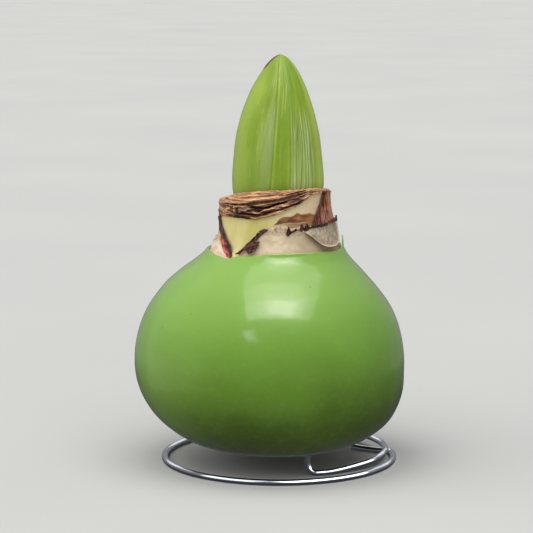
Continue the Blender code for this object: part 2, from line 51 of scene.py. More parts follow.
# The wax over the bulb, as (radius, height), and the height of its edge, as (azimuth, height)
WAX_OUTLINE = ((0.0, 4.6), (10.0, 5.0), (18.5, 6.0), (27.6, 8.1), (34.5, 11.2), (41.7, 17.3),
               (46.3, 25.8), (47.8, 35.6), (46.9, 45.5), (43.8, 54.7), (38.4, 62.7),
               (32.8, 68.6), (28.2, 72.6), (25.7, 75.0), (24.1, 77.2))
WAX_THICKNESS = 1.5
WAX_COLUMNS = 220
INSIDE_WAX = 1.9               # from the wax's outside to the bulb in it
WAX_EDGE_THICKNESS = 0.6
WAX_THINS_FROM = 62.0
LIP_HEIGHT = 0.4               # of the wax that hangs round the leg's hole
TONGUE_REACH = (343.0, 26.0)   # first azimuth of the run of wax on the neck, and its reach
TONGUE_FOOT = 76.7
TONGUE_RADIUS = 23.75
WAX_EDGE = ((20, 0.7), (60, -0.5), (100, 0.4), (140, -0.7), (165, 0.1), (190, -0.3), (210, -0.9),
            (226, -1.6), (236, -0.6), (250, 0.1), (264, 0.8), (280, 1.1), (305, 0.9), (340, 0.3))

# How the middle of the bulb wanders along +X with height
LEAN = ((0.0, 2.7), (8.0, 2.7), (14.0, 2.5), (20.0, 1.7), (28.0, 0.7), (34.0, 0.1), (46.0, -0.1),
        (58.0, -0.2), (65.0, -0.1), (69.0, 0.45), (74.0, 1.5), (77.0, 2.0), (85.0, 1.8),
        (100.0, 1.5))
UNEVEN = 0.009

# The neck, as (height, radius): the inner fleshy scale and the outer scale round its foot
NECK = ((73.2, 22.6), (76.8, 21.3), (80.5, 20.4), (84.0, 19.8), (88.0, 19.2), (92.0, 18.8),
        (104.0, 18.6))
SCALE = ((75.0, 24.2), (76.8, 23.0), (78.0, 22.5), (80.5, 21.7), (84.0, 20.9), (88.0, 20.4),
         (91.0, 20.2))
SCALE_FOOT = 73.5
NECK_COLUMNS = 320
LAYERS_IN_CUT = 4              # scales that show in the cut top of the neck
NOISE_RADIUS = 20.0            # of the neck, where noise is given by the millimetre

# The torn top edge of the outer scale, as (azimuth, height)
SCALE_EDGE = ((0, 87.6), (40, 88.2), (75, 87.2), (110, 87.0), (150, 83.0), (176, 80.8),
              (186, 80.4), (196, 81.0), (203, 81.2), (209, 80.2), (214, 78.7), (220, 77.1),
              (226, 75.8), (231, 75.9), (237, 77.4), (243, 79.6), (249, 82.2), (256, 84.9),
              (264, 86.3), (273, 87.4), (279, 87.2), (286, 86.5), (296, 86.8), (308, 86.6),
              (330, 86.9))

# The hole in the neck for the stalk and the foot of the bud
HOLE_X = 2.6
HOLE_RADIUS = 14.8
HOLE_FLOOR = 62.0
HOLE_FLARE_FROM = 92.0
HOLE_FLARE = 0.275             # growth of the radius for each millimetre above that height

# The dried collar, as (azimuth, height): its foot, its layers' edges and its top
COLLAR_FOOT = ((0, 96.3), (30, 95.2), (60, 92.8), (90, 89.3), (130, 87.6), (160, 88.0),
               (181, 88.8), (213, 89.4), (227, 89.5), (244, 89.2), (257, 90.2), (265, 90.9),
               (273, 92.0), (282, 93.0), (292, 94.4), (299, 95.9), (305, 97.0), (312, 97.7),
               (325, 97.9), (345, 97.2))
OUTER_TOP = ((0, 97.6), (30, 96.8), (60, 95.4), (90, 92.8), (130, 91.4), (181, 92.6),
             (213, 93.1), (232, 92.9), (250, 91.8), (257, 92.9), (265, 93.8), (276, 94.8),
             (284, 95.3), (293, 96.0), (305, 97.7), (320, 98.4), (345, 98.2))
MIDDLE_TOP = ((150, 93.4), (181, 93.6), (205, 93.6), (226, 93.6), (239, 93.9), (250, 94.6),
              (263, 95.2), (276, 95.9), (286, 96.8), (298, 97.8), (306, 98.5))
INNER_HEM = ((0, 97.3), (40, 95.8), (90, 93.6), (135, 92.6), (180, 93.2), (203, 93.8),
             (224, 94.2), (236, 94.9), (246, 95.3), (257, 95.9), (271, 96.6), (281, 97.4),
             (292, 98.2), (304, 98.6), (330, 98.3))
INNER_TOP = ((0, 97.9), (45, 97.2), (90, 96.0), (135, 94.6), (180, 95.2), (212, 97.2),
             (229, 98.1), (239, 98.5), (252, 98.9), (263, 99.1), (276, 99.2), (287, 99.3),
             (299, 99.5), (313, 99.4), (332, 98.9))

# Places on the collar, as (azimuth, half width): its thick knot, a calm side and where the outer
# layer gapes
KNOT = (221.0, 20.0)
CALM_SIDE = (196.0, 20.0)
GAP = (267.0, 34.0)
COLLAR_INSIDE = 16.45          # radius of its inside, round the bud
INNER_CREST = 0.3              # how far up its own length the inner layer turns over

# The bud, as (radius, height), its middle along +X, and its front seam, both over height
BUD_OUTLINE = ((12.6, 90.0), (14.2, 92.0), (15.35, 95.0), (15.95, 98.0), (16.1, 101.0),
               (16.0, 104.0), (15.6, 108.5), (15.2, 112.5), (14.6, 117.0), (13.7, 121.0),
               (12.6, 125.2), (11.2, 129.2), (9.5, 133.4), (7.3, 137.6), (4.7, 141.6),
               (2.3, 144.0), (0.0, 145.1))
BUD_LEAN = ((90.0, 2.6), (100.0, 2.9), (112.0, 2.8), (122.0, 2.85), (130.0, 3.05),
            (138.0, 3.5), (146.0, 3.8))
BUD_DEPTH = 0.95
VALVE_COLUMNS = 170
VALVE_ROWS = 150
VALVE_THICKNESS = 0.9
LAP_OVER = 0.25                # how far a valve reaches past the seam over the other one
LAP_UNDER = 1.7                # and under it at its other border
DRY_TIP_FROM = 138.2
SEAM_LINE = ((88.0, 0.2), (98.0, 0.5), (108.0, 1.1), (118.0, 1.8), (125.0, 2.3),
             (132.0, 2.8), (140.0, 3.2), (147.0, 3.5))

# The wire stand
WIRE_RADIUS = 1.1
WIRE_FLAT = 0.15
RING_X = 3.3
RING_Y = 5.5
RING_RADIUS = 41.1
FIRST_TURN_RADIUS = 38.4
FIRST_TURN_RISE = 2.35
LEG_X = 13.1
LEG_Y = -21.1
LEG_TOP = 26.0
LEG_BEND = 3.4
LEG_HEADING = -12.0
LEG_CLEARANCE = 0.12
# From the leg's foot outwards, as (x, y, rise), then (azimuth, radius, rise), then (x, y)
LEG_RUN = ((21.0, -20.2, 0.0), (26.0, -17.3, 0.35), (31.0, -14.1, 0.9), (35.5, -10.6, 1.5))
RISE_TO_TURN = ((-16.0, 37.6, 2.1), (-6.0, FIRST_TURN_RADIUS - 0.1, FIRST_TURN_RISE))
FREE_END = ((43.8, 10.2), (42.5, 11.8), (40.0, 12.3), (35.4, 14.6), (30.4, 18.2))
RAISED_UNTIL = 60              # azimuth up to which the first turn lies on the second
RING_FROM = 150                # azimuth from which the wire lies on the table as the ring

# The camera that took the photograph, and its frame in pixels
CAMERA_PLACE = (-1.16, -744.8, 179.2)
CAMERA_PITCH = 8.318
FOCAL_PIXELS = 2131.0
FRAME_PIXELS = 533
SENSOR_WIDTH = 36.0

# The light. Colours here are linear, and sides and places of panels are in metres
TABLE_IN_WAX = (0.19, 0.19, 0.2)       # what glossy things mirror from below, as a dark table
HORIZON = (0.62, 0.63, 0.64)
SKY = (0.95, 0.96, 0.97)
WORLD_STRENGTH = 0.42
SKY_DISTANCE = 2.5             # metres from the object to the bright patches of sky
WINDOW_COLOUR = (1.0, 0.88, 0.97)
SKY_COLOUR = (0.97, 0.99, 1.0)
FLOOR_SIZE = 20.0
FLOOR_BELOW = 0.0001

# Panes of the window that the wax mirrors: name, reach along X and along Y, height, radiance
WINDOW = (("window_pale", (-0.14, 0.5), (-0.54, -0.12), 0.96, 1.8),
          ("window_bright", (-0.06, 0.44), (-0.52, -0.2), 0.965, 2.2),
          ("window_brightest", (0.0, 0.36), (-0.5, -0.29), 0.97, 3.0),
          ("window_low", (-0.27, 0.3), (-0.57, -0.3), 0.955, 5.0),
          ("window_upper_0", (-0.27, 0.2), (-0.3, -0.08), 0.96, 0.75),
          ("window_upper_1", (-0.27, 0.32), (-0.3, -0.08), 0.96, 0.75),
          ("window_upper_2", (-0.27, 0.42), (-0.3, -0.08), 0.96, 0.75),
          ("window_wide", (-0.27, 0.6), (-0.3, -0.08), 0.955, 2.4),
          ("window_far", (-0.27, 0.6), (-0.08, 0.8), 0.955, 1.9),
          ("window_right", (0.3, 0.62), (-0.5, -0.3), 0.955, 2.6),
          ("low_glint", (-0.34, -0.14), (-1.05, -0.58), 0.62, 2.0),
          ("low_glint_middle", (-0.3, -0.18), (-0.9, -0.64), 0.615, 2.8))

# Patches of sky that glossy things mirror: name, azimuth, elevation, width and height in degrees,
# and radiance
SKY_FOR_WAX = tuple((f"left_side_{step}", 180.0, 17.0, width, width + 6.0, 0.24)
                    for step, width in enumerate((76.0, 64.0, 52.0, 40.0, 28.0)))
SKY_FOR_WIRE = (("front_left", 216.0, 36.0, 54.0, 54.0, 2.5),
                ("front_right", 322.0, 38.0, 86.0, 50.0, 5.4),
                ("behind", 90.0, 40.0, 90.0, 40.0, 1.2))

# Even light: name, the way it shines, strength, and how wide it spreads in degrees
SUNS = (("top_sky", (-0.02, 0.3, -1.0), 1.9, 70.0), ("left_sky", (0.68, 0.25, -0.66), 1.1, 80.0),
        ("low_left_sky", (0.9, 0.2, 0.05), 0.3, 80.0), ("front_sky", (-0.2, 0.8, -0.55), 0.5, 80.0))


def along(table, places):
    """A smooth curve read from a table of (place, value), without overshoot."""
    xs, ys = np.array(table, float).T
    steps = np.diff(ys) / np.diff(xs)
    before, after = steps[:-1], steps[1:]
    same_way = before * after > 0
    total = np.where(same_way, before + after, 1.0)
    slopes = np.concatenate([steps[:1], np.where(same_way, 2 * before * after / total, 0.0),
                             steps[-1:]])
    places = np.clip(places, xs[0], xs[-1])
    span = np.clip(np.searchsorted(xs, places) - 1, 0, len(xs) - 2)
    width = xs[span + 1] - xs[span]
    t = (places - xs[span]) / width
    return ((2 * t**3 - 3 * t**2 + 1) * ys[span] + (t**3 - 2 * t**2 + t) * width * slopes[span]
            + (3 * t**2 - 2 * t**3) * ys[span + 1] + (t**3 - t**2) * width * slopes[span + 1])


def round_table(table, azimuth):
    """A smooth curve read from a table of (azimuth, value) that closes on itself."""
    closed = ((table[-1][0] - 360, table[-1][1]), *table, (table[0][0] + 360, table[0][1]))
    return along(closed, np.asarray(azimuth) % 360.0)


def through(points, per_span):
    """Points on one smooth curve through the given points."""
    given = [np.array(point, float) for point in points]
    padded = [2 * given[0] - given[1], *given, 2 * given[-1] - given[-2]]
    curve = []
    for a, b, c, d in zip(padded, padded[1:], padded[2:], padded[3:]):
        for step in range(per_span):
            t = step / per_span
            curve.append(0.5 * (2 * b + (c - a) * t + (2 * a - 5 * b + 4 * c - d) * t**2
                                + (3 * b - a - 3 * c + d) * t**3))
    curve.append(given[-1])
    return np.array(curve)


def ease(t):
    """From 0 to 1 with a soft start and end."""
    t = np.clip(t, 0.0, 1.0)
    return t * t * (3 - 2 * t)


def hump(place, middle, half_width):
    """1 at the middle, falling softly to 0 at half a width to either side."""
    return ease(1 - np.abs(place - middle) / half_width)


def fractal(x, y, z, octaves=4):
    """Noise of about -1 to 1 at each place."""
    x, y, z = np.broadcast_arrays(x, y, z)
    places = zip(x.ravel().tolist(), y.ravel().tolist(), z.ravel().tolist())
    return np.array([noise.fractal(p, 1.0, 2.0, octaves) for p in places]).reshape(x.shape)


def creases(x, y, z, octaves=4):
    """Noise of about 0 to 1 with sharp ridges, as in crumpled paper."""
    return 1 - np.clip(np.abs(fractal(x, y, z, octaves)) * 2.2, 0, 1)


def turn_of(azimuth):
    """Cosine and sine of an azimuth in degrees."""
    return np.cos(np.radians(azimuth)), np.sin(np.radians(azimuth))


def round_noise(azimuth, size, level, octaves, make=fractal):
    """Noise along circles round the bulb, of that size in the noise and at that level."""
    cosine, sine = turn_of(azimuth)
    return make(cosine * size, sine * size, level, octaves)


def strokes(azimuth, height, lines):
    """Grooves (below 0) and ridges (above 0) along lines of (azimuth, height) points, each line
    given as (points, half width, size)."""
    total = 0 * azimuth + 0 * height
    for points, half, size in lines:
        first, last = points[0][0], points[-1][0]
        share = (azimuth - first) / (last - first)
        fade = ease(share / 0.15) * ease((1 - share) / 0.15)
        total = total + size * fade * np.exp(-((height - along(points, azimuth)) / half) ** 2)
    return total


def layered(azimuth, up, seed, count):
    """Thin layers over one another: 1 at each layer's lower edge, falling to 0 up its face."""
    level = count * up + 0.7 * round_noise(azimuth, 2.2, seed, 4)
    level = level + 0.3 * round_noise(azimuth, 7, up * 2 + seed, 3)
    return 1 - (level - np.floor(level))


def jagged(azimuth, per_mm, seed):
    """Noise along the edge of the neck, for a torn edge."""
    return round_noise(azimuth, NOISE_RADIUS * per_mm, seed, 4)


def settle(x, y, z):
    """Makes the bulb out of round as the real one and leans it."""
    azimuth = np.arctan2(y, x)
    uneven = UNEVEN * (np.sin(2 * azimuth) + 0.4 * np.sin(4 * azimuth))
    swell = 1 + uneven * (1 - ease((z - 55.0) / 20.0))
    return np.stack([x * swell + along(LEAN, z), y * swell, z], -1)


def on_neck(azimuth, height, radius):
    cosine, sine = turn_of(azimuth)
    return settle(radius * cosine, radius * sine, height + 0 * cosine)


def grid_faces(columns, rows, start, wrap, inward=False):
    """Quads of a grid of points held column by column, facing out or in."""
    i = np.arange(columns if wrap else columns - 1)[:, None]
    j = np.arange(rows - 1)[None, :]
    after = (i + 1) % columns
    corners = [i * rows + j, after * rows + j, after * rows + j + 1, i * rows + j + 1]
    if inward:
        corners.reverse()
    return start + np.stack([np.broadcast_to(c, (len(i), rows - 1)) for c in corners],
                            -1).reshape(-1, 4)


def shell_faces(columns, rows, wrap, foot=True):
    """Faces of an outer and an inner grid of points, and the walls that join their borders."""
    count = columns * rows
    faces = [grid_faces(columns, rows, 0, wrap), grid_faces(columns, rows, count, wrap, True)]
    i = np.arange(columns if wrap else columns - 1)
    after = (i + 1) % columns
    top = rows - 1
    if foot:
        faces.append(np.stack([after * rows, i * rows, i * rows + count, after * rows + count], -1))
    faces.append(np.stack([i * rows + top, after * rows + top, after * rows + top + count,
                           i * rows + top + count], -1))
    if not wrap:
        j = np.arange(rows - 1)
        last = (columns - 1) * rows
        faces.append(np.stack([j, j + 1, j + 1 + count, j + count], -1))
        faces.append(np.stack([last + j + 1, last + j, last + j + count, last + j + 1 + count], -1))
    return np.concatenate(faces).tolist()


def add_object(name, data):
    """Makes an object in the scene."""
    made = bpy.data.objects.new(name, data)
    bpy.context.scene.collection.objects.link(made)
    return made


def evaluated_mesh(thing):
    """A mesh of an object as it looks with its modifiers, or with its curve's thickness."""
    return bpy.data.meshes.new_from_object(thing.evaluated_get(
        bpy.context.evaluated_depsgraph_get()))


def add_piece(name, points, faces, finish, nodes, marks=None, crease_angle=50.0):
    """Makes a mesh piece from points in millimetres that stands for CAD nodes. Each mark has a
    value for each point of the outer face, and the inner face takes the same values."""
    mesh = bpy.data.meshes.new(name)
    mesh.from_pydata((points.reshape(-1, 3) * MM).tolist(), [], faces)
    for mark, values in (marks or {}).items():
        field = mesh.attributes.new(mark, "FLOAT", "POINT")
        field.data.foreach_set("value", np.tile(np.asarray(values, np.float32).ravel(), 2))
    shape = bmesh.new()
    shape.from_mesh(mesh)
    bmesh.ops.remove_doubles(shape, verts=shape.verts, dist=WELD_METRES)
    bmesh.ops.dissolve_degenerate(shape, edges=shape.edges, dist=WELD_METRES / 2)
    shape.to_mesh(mesh)
    shape.free()
    mesh.validate()
    mesh.shade_smooth()
    mesh.set_sharp_from_angle(angle=math.radians(crease_angle))
    mesh.materials.append(finish.material)
    piece = add_object(name, mesh)
    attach(piece, "root")
    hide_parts(*nodes)
    return piece


def sheet(name, columns, rows, place, thickness, finish, node, wrap=False, rim=0.6, neck=on_neck):
    """A thin skin: place takes across and up, 0 to 1, and gives azimuth, height, radius and a
    fold mark: for most skins how deep each point lies in a fold, which the dried and red
    finishes paint as shade and light, and for the outer scale how dry it is. It thins to rounded
    borders over rim mm."""
    across, up = np.meshgrid(np.linspace(0, 1, columns, endpoint=not wrap),
                             np.linspace(0, 1, rows), indexing="ij")
    azimuth, height, radius, depth = place(across, up)
    inner = neck(azimuth, height, radius)
    side = np.linalg.norm(np.diff(inner, axis=1), axis=-1)
    risen = np.concatenate([np.zeros((columns, 1)), np.cumsum(side, 1)], 1)
    border = np.minimum(risen, risen[:, -1:] - risen)
    if not wrap:
        step = np.linalg.norm(np.diff(inner, axis=0), axis=-1)
        gone = np.concatenate([np.zeros((1, rows)), np.cumsum(step, 0)], 0)
        border = np.minimum(border, np.minimum(gone, gone[-1:] - gone))
    near = np.clip(border / rim, 0, 1)
    if callable(thickness):
        thickness = thickness(height)
    full = thickness * (BORDER_SHARE + (1 - BORDER_SHARE) * np.sqrt(near * (2 - near)))
    outer = neck(azimuth, height, radius + full)
    # The fold mark: painted shade and light for the dried and red finishes, dryness for the cream
    # one.
    marks = {"across": across, "up": up, "border": border, "fold": depth + 0 * across}
    return add_piece(name, np.stack([outer, inner]), shell_faces(columns, rows, wrap), finish,
                     [node], marks)


def shade(red, green, blue):
    """A colour given as it looks on screen, from 0 to 255, as the shader's own linear colour."""
    return tuple(c / 12.92 if c <= 0.04045 else ((c + 0.055) / 1.055) ** 2.4
                 for c in (red / 255, green / 255, blue / 255))


class Value:
    """What a node gives out. It adds, subtracts and multiplies as a number does."""

    def __init__(self, finish, socket):
        self.finish = finish
        self.socket = socket

    def math(self, operation, other=0.0):
        return self.finish.node("Math", {0: self, 1: other}, operation=operation)

    def __add__(self, other):
        return self.math("ADD", other)

    def __sub__(self, other):
        return self.math("SUBTRACT", other)

    def __mul__(self, other):
        return self.math("MULTIPLY", other)

    def sway(self, size):
        """Noise of 0 to 1 made into a shift of up to half that size either way."""
        return (self - 0.5) * size

    def span(self, low, high, start=0.0, end=1.0):
        """Softly maps low..high to start..end and holds the ends."""
        return self.finish.node("MapRange", {"Value": self, "From Min": low, "From Max": high,
                                             "To Min": start, "To Max": end}, "Result",
                                interpolation_type="SMOOTHSTEP")

    def band(self, low, high, soft):
        """1 from low to high, falling softly to 0 outside."""
        return self.span(low - soft, low + soft) * self.span(high - soft, high + soft, 1.0, 0.0)


class Finish:
    """A procedural material for a slot. Its colour starts as a ramp, and each coat of paint is
    mixed over it by a share of 0 to 1. Tones are red, green and blue as they look on screen."""

    def __init__(self, slot):
        self.slot = slot
        self.material = bpy.data.materials.new(slot)
        self.material.use_nodes = True
        self.colour = None

    def give(self, socket, value):
        if isinstance(value, Value):
            self.material.node_tree.links.new(value.socket, socket)
        elif socket.type == "RGBA":
            socket.default_value = (*value, 1.0)
        else:
            socket.default_value = value

    def node(self, kind, inputs, output=0, **settings):
        """Adds a node and gives back one of its outputs."""
        made = self.material.node_tree.nodes.new("ShaderNode" + kind)
        for key, value in settings.items():
            setattr(made, key, value)
        for key, value in inputs.items():
            self.give(made.inputs[key], value)
        return Value(self, made.outputs[output])

    def surface(self, roughness, normal=None, **values):
        """Ends the finish: gives the shader its colour and the rest."""
        values = {"Base_Color": self.colour, "Roughness": roughness, "Normal": normal, **values}
        shader = self.material.node_tree.nodes["Principled BSDF"]
        for key, value in values.items():
            if value is not None:
                self.give(shader.inputs[key.replace("_", " ")], value)
        return self

    def mark(self, name):
        return self.node("Attribute", {}, "Fac", attribute_name=name)

    def place(self, *stretch):
        """Places on the object in millimetres, times a stretch along each axis."""
        here = self.node("TexCoord", {}, "Object")
        scale = tuple(1000.0 * s for s in stretch)
        return self.node("VectorMath", {0: here, 1: scale}, operation="MULTIPLY")

    def axis(self, number):
        """How far along an axis a place on the object lies, in millimetres."""
        return self.node("SeparateXYZ", {0: self.place(1.0, 1.0, 1.0)}, number)

    def noise(self, x, y, z=0.0, detail=4.0, rough=0.5, warp=0.0):
        """Clouds of 0 to 1, over places stretched by x, y and z, or over x, y and z as values."""
        joined = isinstance(x, Value)
        vector = self.node("CombineXYZ", {0: x, 1: y, 2: z}) if joined else self.place(x, y, z)
        return self.node("TexNoise", {"Vector": vector, "Scale": 1.0, "Detail": detail,
                                      "Roughness": rough, "Distortion": warp}, "Fac")

    def spots(self, *stretch):
        """Distance from the nearest of many scattered points, 0 at each."""
        return self.node("TexVoronoi", {"Vector": self.place(*stretch), "Scale": 1.0}, "Distance")

    def mix(self, share, a, b):
        return self.node("Mix", {0: share, 6: a, 7: b}, 2, data_type="RGBA")

    def paint(self, share, *tone):
        """Mixes a tone, or a colour from a node, over the finish's colour."""
        self.colour = self.mix(share, self.colour, shade(*tone) if len(tone) == 3 else tone[0])

    def ramp(self, share, *stops):
        """A colour that runs through stops of (share, red, green, blue)."""
        colour = self.node("ValToRGB", {"Fac": share}, "Color")
        elements = colour.socket.node.color_ramp.elements
        elements.remove(elements[1])
        for number, (position, *tone) in enumerate(stops):
            element = elements.new(position) if number else elements[0]
            element.position = position
            element.color = (*shade(*tone), 1.0)
        return colour

    def bump(self, height, size, strength, normal=None):
        """A bump of that size in millimetres."""
        inputs = {"Height": height, "Distance": size * MM, "Strength": strength}
        if normal is not None:
            inputs["Normal"] = normal
        return self.node("Bump", inputs, "Normal")


def wax_finish():
    """Dipped wax: glossy, faintly see-through, uneven where it ran and cooled. Its colour has
    painted shade towards the bottom and painted light low on its left side.
    """
    f = Finish("green_wax")
    height = f.axis(2)
    # Painted shade: the ramp darkens the wax towards the bottom; depth is not its thickness.
    depth = height.span(2.0, 80.0) + f.noise(0.035, 0.035, 0.05, detail=2.0).sway(0.35)
    f.colour = f.ramp(depth, (0.0, 54, 68, 22), (0.16, 68, 91, 28), (0.34, 90, 124, 40),
                      (0.6, 104, 147, 48), (1.0, 130, 170, 78))
    # Painted light: paler low on the left side, where the light falls from.
    left = f.axis(0).span(-16.0, -44.0) * height.span(66.0, 36.0)
    f.paint(left * 0.45, 128, 162, 78)
    mottle = f.noise(0.5, 0.5, 0.5, rough=0.6)
    f.paint(mottle.span(0.45, 0.8, 0.0, 0.16), f.mix(0.5, f.colour, shade(146, 188, 96)))
    f.paint(f.spots(0.11, 0.11, 0.11).span(0.025, 0.05, 0.6, 0.0), 62, 92, 34)
    dull = f.noise(0.12, 0.12, 0.12, detail=3.0).span(0.3, 0.75, 0.3, 0.42)
    ripple = f.bump(f.noise(0.09, 0.09, 0.09, detail=1.5), 0.5, 0.35)
    fine = f.bump(f.noise(0.6, 0.6, 0.6, detail=3.0), 0.04, 0.4, ripple)
    return f.surface(dull, fine, Coat_Normal=fine, Coat_Weight=1.0, Coat_Roughness=0.1,
                     Coat_IOR=1.36, Specular_IOR_Level=0.1, Subsurface_Weight=0.12,
                     Subsurface_Scale=0.0012, Subsurface_Radius=(0.9, 1.2, 0.4))


def flesh_finish():
    """Living scale of the bulb: yellow-green at the front left, cream to the right."""
    f = Finish("bulb_flesh")
    side, height = f.axis(0), f.axis(2)
    share = side.span(-16.0, 17.0) + f.noise(0.2, 0.2, 0.08, detail=2.0).sway(0.4)
    f.colour = f.ramp(share, (0.0, 214, 200, 138), (0.2, 194, 185, 97), (0.45, 206, 195, 127),
                      (0.75, 224, 208, 164), (1.0, 222, 198, 160))
    fibre = f.noise(1.6, 1.6, 0.12)
    f.paint(fibre.span(0.45, 0.8, 0.0, 0.35), 190, 176, 96)
    stain = f.noise(0.3, 0.3, 0.5, detail=5.0, rough=0.65)
    f.paint(stain.span(0.6, 0.78, 0.0, 0.5), 190, 150, 92)
    front = side.span(3.0, 7.0) * f.axis(1).span(-6.0, -10.0)
    edge = height + stain.sway(3.0)
    f.paint(front * edge.band(85.6, 88.4, 0.9) * 0.7, 146, 98, 62)
    f.paint(height.span(95.0, 98.5, 0.0, 0.35), 176, 136, 84)
    return f.surface(0.42, f.bump(fibre, 0.12, 0.5), Subsurface_Weight=0.1,
                     Subsurface_Scale=0.001, Subsurface_Radius=(1.0, 0.8, 0.4))


def cream_finish():
    """The thick outer scale, drying to tan and grey where its torn edge is thin."""
    f = Finish("cream_scale")
    cloud = f.noise(0.25, 0.25, 0.35)
    f.colour = f.ramp(cloud, (0.3, 222, 206, 176), (0.55, 210, 187, 154), (0.8, 192, 164, 130))
    fibre = f.noise(2.2, 2.2, 0.2)
    f.paint(fibre.span(0.5, 0.8, 0.0, 0.35), 184, 154, 112)
    f.paint(f.noise(0.5, 0.5, 0.7, detail=3.0).span(0.56, 0.7, 0.0, 0.5), 172, 182, 126)
    # Painted shade and light: darker towards the right and paler towards the left, the side the
    # light falls from.
    side = f.axis(0) + cloud.sway(8.0)
    f.paint(side.span(1.0, 15.0, 0.0, 0.8), 176, 156, 124)
    f.paint(side.span(-10.0, -16.0, 0.0, 0.7), 238, 228, 208)
    f.paint((f.axis(2) + cloud.sway(9.0)).span(76.8, 78.6, 0.55, 0.0), 206, 144, 114)
    ragged = f.mark("border") + cloud.sway(3.0)
    f.paint(ragged.span(0.0, 2.0, 0.5, 0.0), 178, 148, 112)
    streak = f.noise(1.4, 1.4, 0.8, detail=6.0, rough=0.65, warp=0.6)
    dry = f.mark("fold") * (cloud + streak * 0.4).span(0.45, 0.75, 0.75, 1.0)
    dead = f.ramp(streak, (0.32, 100, 70, 48), (0.44, 176, 150, 120), (0.7, 214, 192, 164))
    f.paint(dry * 0.9, dead)
    f.paint(ragged.span(-0.3, 0.4, 0.75, 0.0), 112, 80, 54)
    return f.surface(0.5, f.bump(fibre + (cloud + streak) * 0.6, 0.25, 0.6))


def dried_finish(slot, dark, middle, light, edge, stretch, rough):
    """Dead skin: painted shade in its folds and painted light on its ridges, streaked along
    its fibres.
    """
    f = Finish(slot)
    streak = f.noise(*stretch, detail=6.0, rough=0.62, warp=0.4)
    cloud = f.noise(0.3, 0.3, 0.4, detail=3.0)
    # The fold mark turns into painted shade in creases and painted light on ridges.
    tone = f.mark("fold") * 0.6 + streak * 0.5 + cloud.sway(0.4)
    f.colour = f.ramp(tone, (0.22, *dark), (0.5, *middle), (0.8, *light))
    worn = f.mark("border") + streak.sway(0.6)
    f.paint(worn.span(0.0, 0.32, 0.8, 0.0), *edge)
    fine = f.noise(*(2.5 * s for s in stretch))
    return f.surface(rough, f.bump(streak + fine * 0.5, 0.3, 0.7), Specular_IOR_Level=0.35)


def red_finish():
    """A dead edge, red where it is still thin and alive, nearly black where it has dried."""
    f = Finish("red_brown_skin")
    blotch = f.noise(0.7, 0.7, 0.35, detail=5.0, rough=0.6)
    # The fold mark darkens the creases a little: painted shade.
    f.colour = f.ramp(blotch * 0.8 + f.mark("fold") * 0.25,
                      (0.34, 64, 17, 13), (0.5, 134, 38, 30), (0.66, 200, 96, 76))
    f.paint((f.mark("across") + blotch.sway(0.6)).span(0.6, 0.8), 38, 15, 14)
    f.paint(f.mark("up").span(0.5, 0.78, 0.0, 0.9), 40, 22, 20)
    f.paint(f.mark("border").span(0.0, 0.3, 0.8, 0.0), 30, 13, 12)
    return f.surface(0.5, f.bump(blotch, 0.3, 0.7))


def orange_finish():
    """A stain of dried juice and skin that fades into the flesh round it."""
    f = Finish("orange_skin")
    cloud = f.noise(0.35, 0.35, 0.8, detail=5.0, rough=0.62)
    f.colour = f.ramp(cloud, (0.34, 78, 38, 16), (0.5, 128, 74, 34), (0.66, 172, 116, 66))
    side = f.mark("across") + cloud.sway(1.2)
    f.paint(side.span(0.55, 0.2, 0.0, 0.7), 84, 46, 26)
    f.paint(side.span(0.5, 0.95, 0.0, 0.45), 176, 116, 62)
    f.paint((f.mark("border") + cloud.sway(2.0)).span(0.0, 0.5, 1.0, 0.0), 206, 186, 134)
    specks = f.spots(1.3, 1.3, 1.6).span(0.1, 0.2, 0.8, 0.0)
    f.paint(specks * cloud.span(0.4, 0.5), 66, 38, 22)
    return f.surface(0.5, f.bump(cloud, 0.25, 0.6))


def papery_finish():
    """A dry skin as thin as paper, grey-beige with fine upright veins."""
    f = Finish("papery_skin")
    veins = f.noise(2.4, 2.4, 0.14, detail=5.0, rough=0.6)
    cloud = f.noise(0.3, 0.3, 0.3, detail=3.0)
    f.colour = f.ramp(veins * 0.75 + cloud * 0.35,
                      (0.38, 104, 86, 68), (0.52, 154, 137, 114), (0.68, 190, 175, 152))
    border, low = f.mark("border"), f.mark("up").span(0.3, 0.5, 1.0, 0.0)
    # Along the lifted lower edge: a painted highlight, and at the very border a thin painted shadow
    # line.
    f.paint(border.span(0.5, 0.9, 0.85, 0.0) * low, 226, 208, 176)
    f.paint(border.span(0.24, 0.42, 0.9, 0.0) * low, 74, 52, 38)
    return f.surface(0.5, f.bump(veins, 0.22, 0.9))


def leaf_veins(f, across, height):
    return f.noise(across * 70.0, height * 0.02, detail=3.0)


def bract_finish(slot, add_marks):
    """A spathe valve: a plain leaf green with what add_marks paints on it. The mark seam is the
    distance in millimetres from the front seam."""
    f = Finish(slot)
    across, height = f.mark("across"), f.axis(2)
    vein = leaf_veins(f, across, height)
    cloud = f.noise(0.12, 0.12, 0.05, detail=3.0)
    f.colour = f.ramp(vein * 0.35 + cloud * 0.65,
                      (0.32, 116, 146, 28), (0.5, 132, 160, 42), (0.68, 150, 174, 60))
    add_marks(f, across, f.mark("seam"), height)
    skin = f.noise(2.5, 2.5, 0.9)
    f.paint(skin.span(0.5, 0.8, 0.0, 0.1), 186, 206, 130)
    return f.surface(0.42, f.bump(vein + skin * 0.25, 0.2, 0.5), Specular_IOR_Level=0.3)


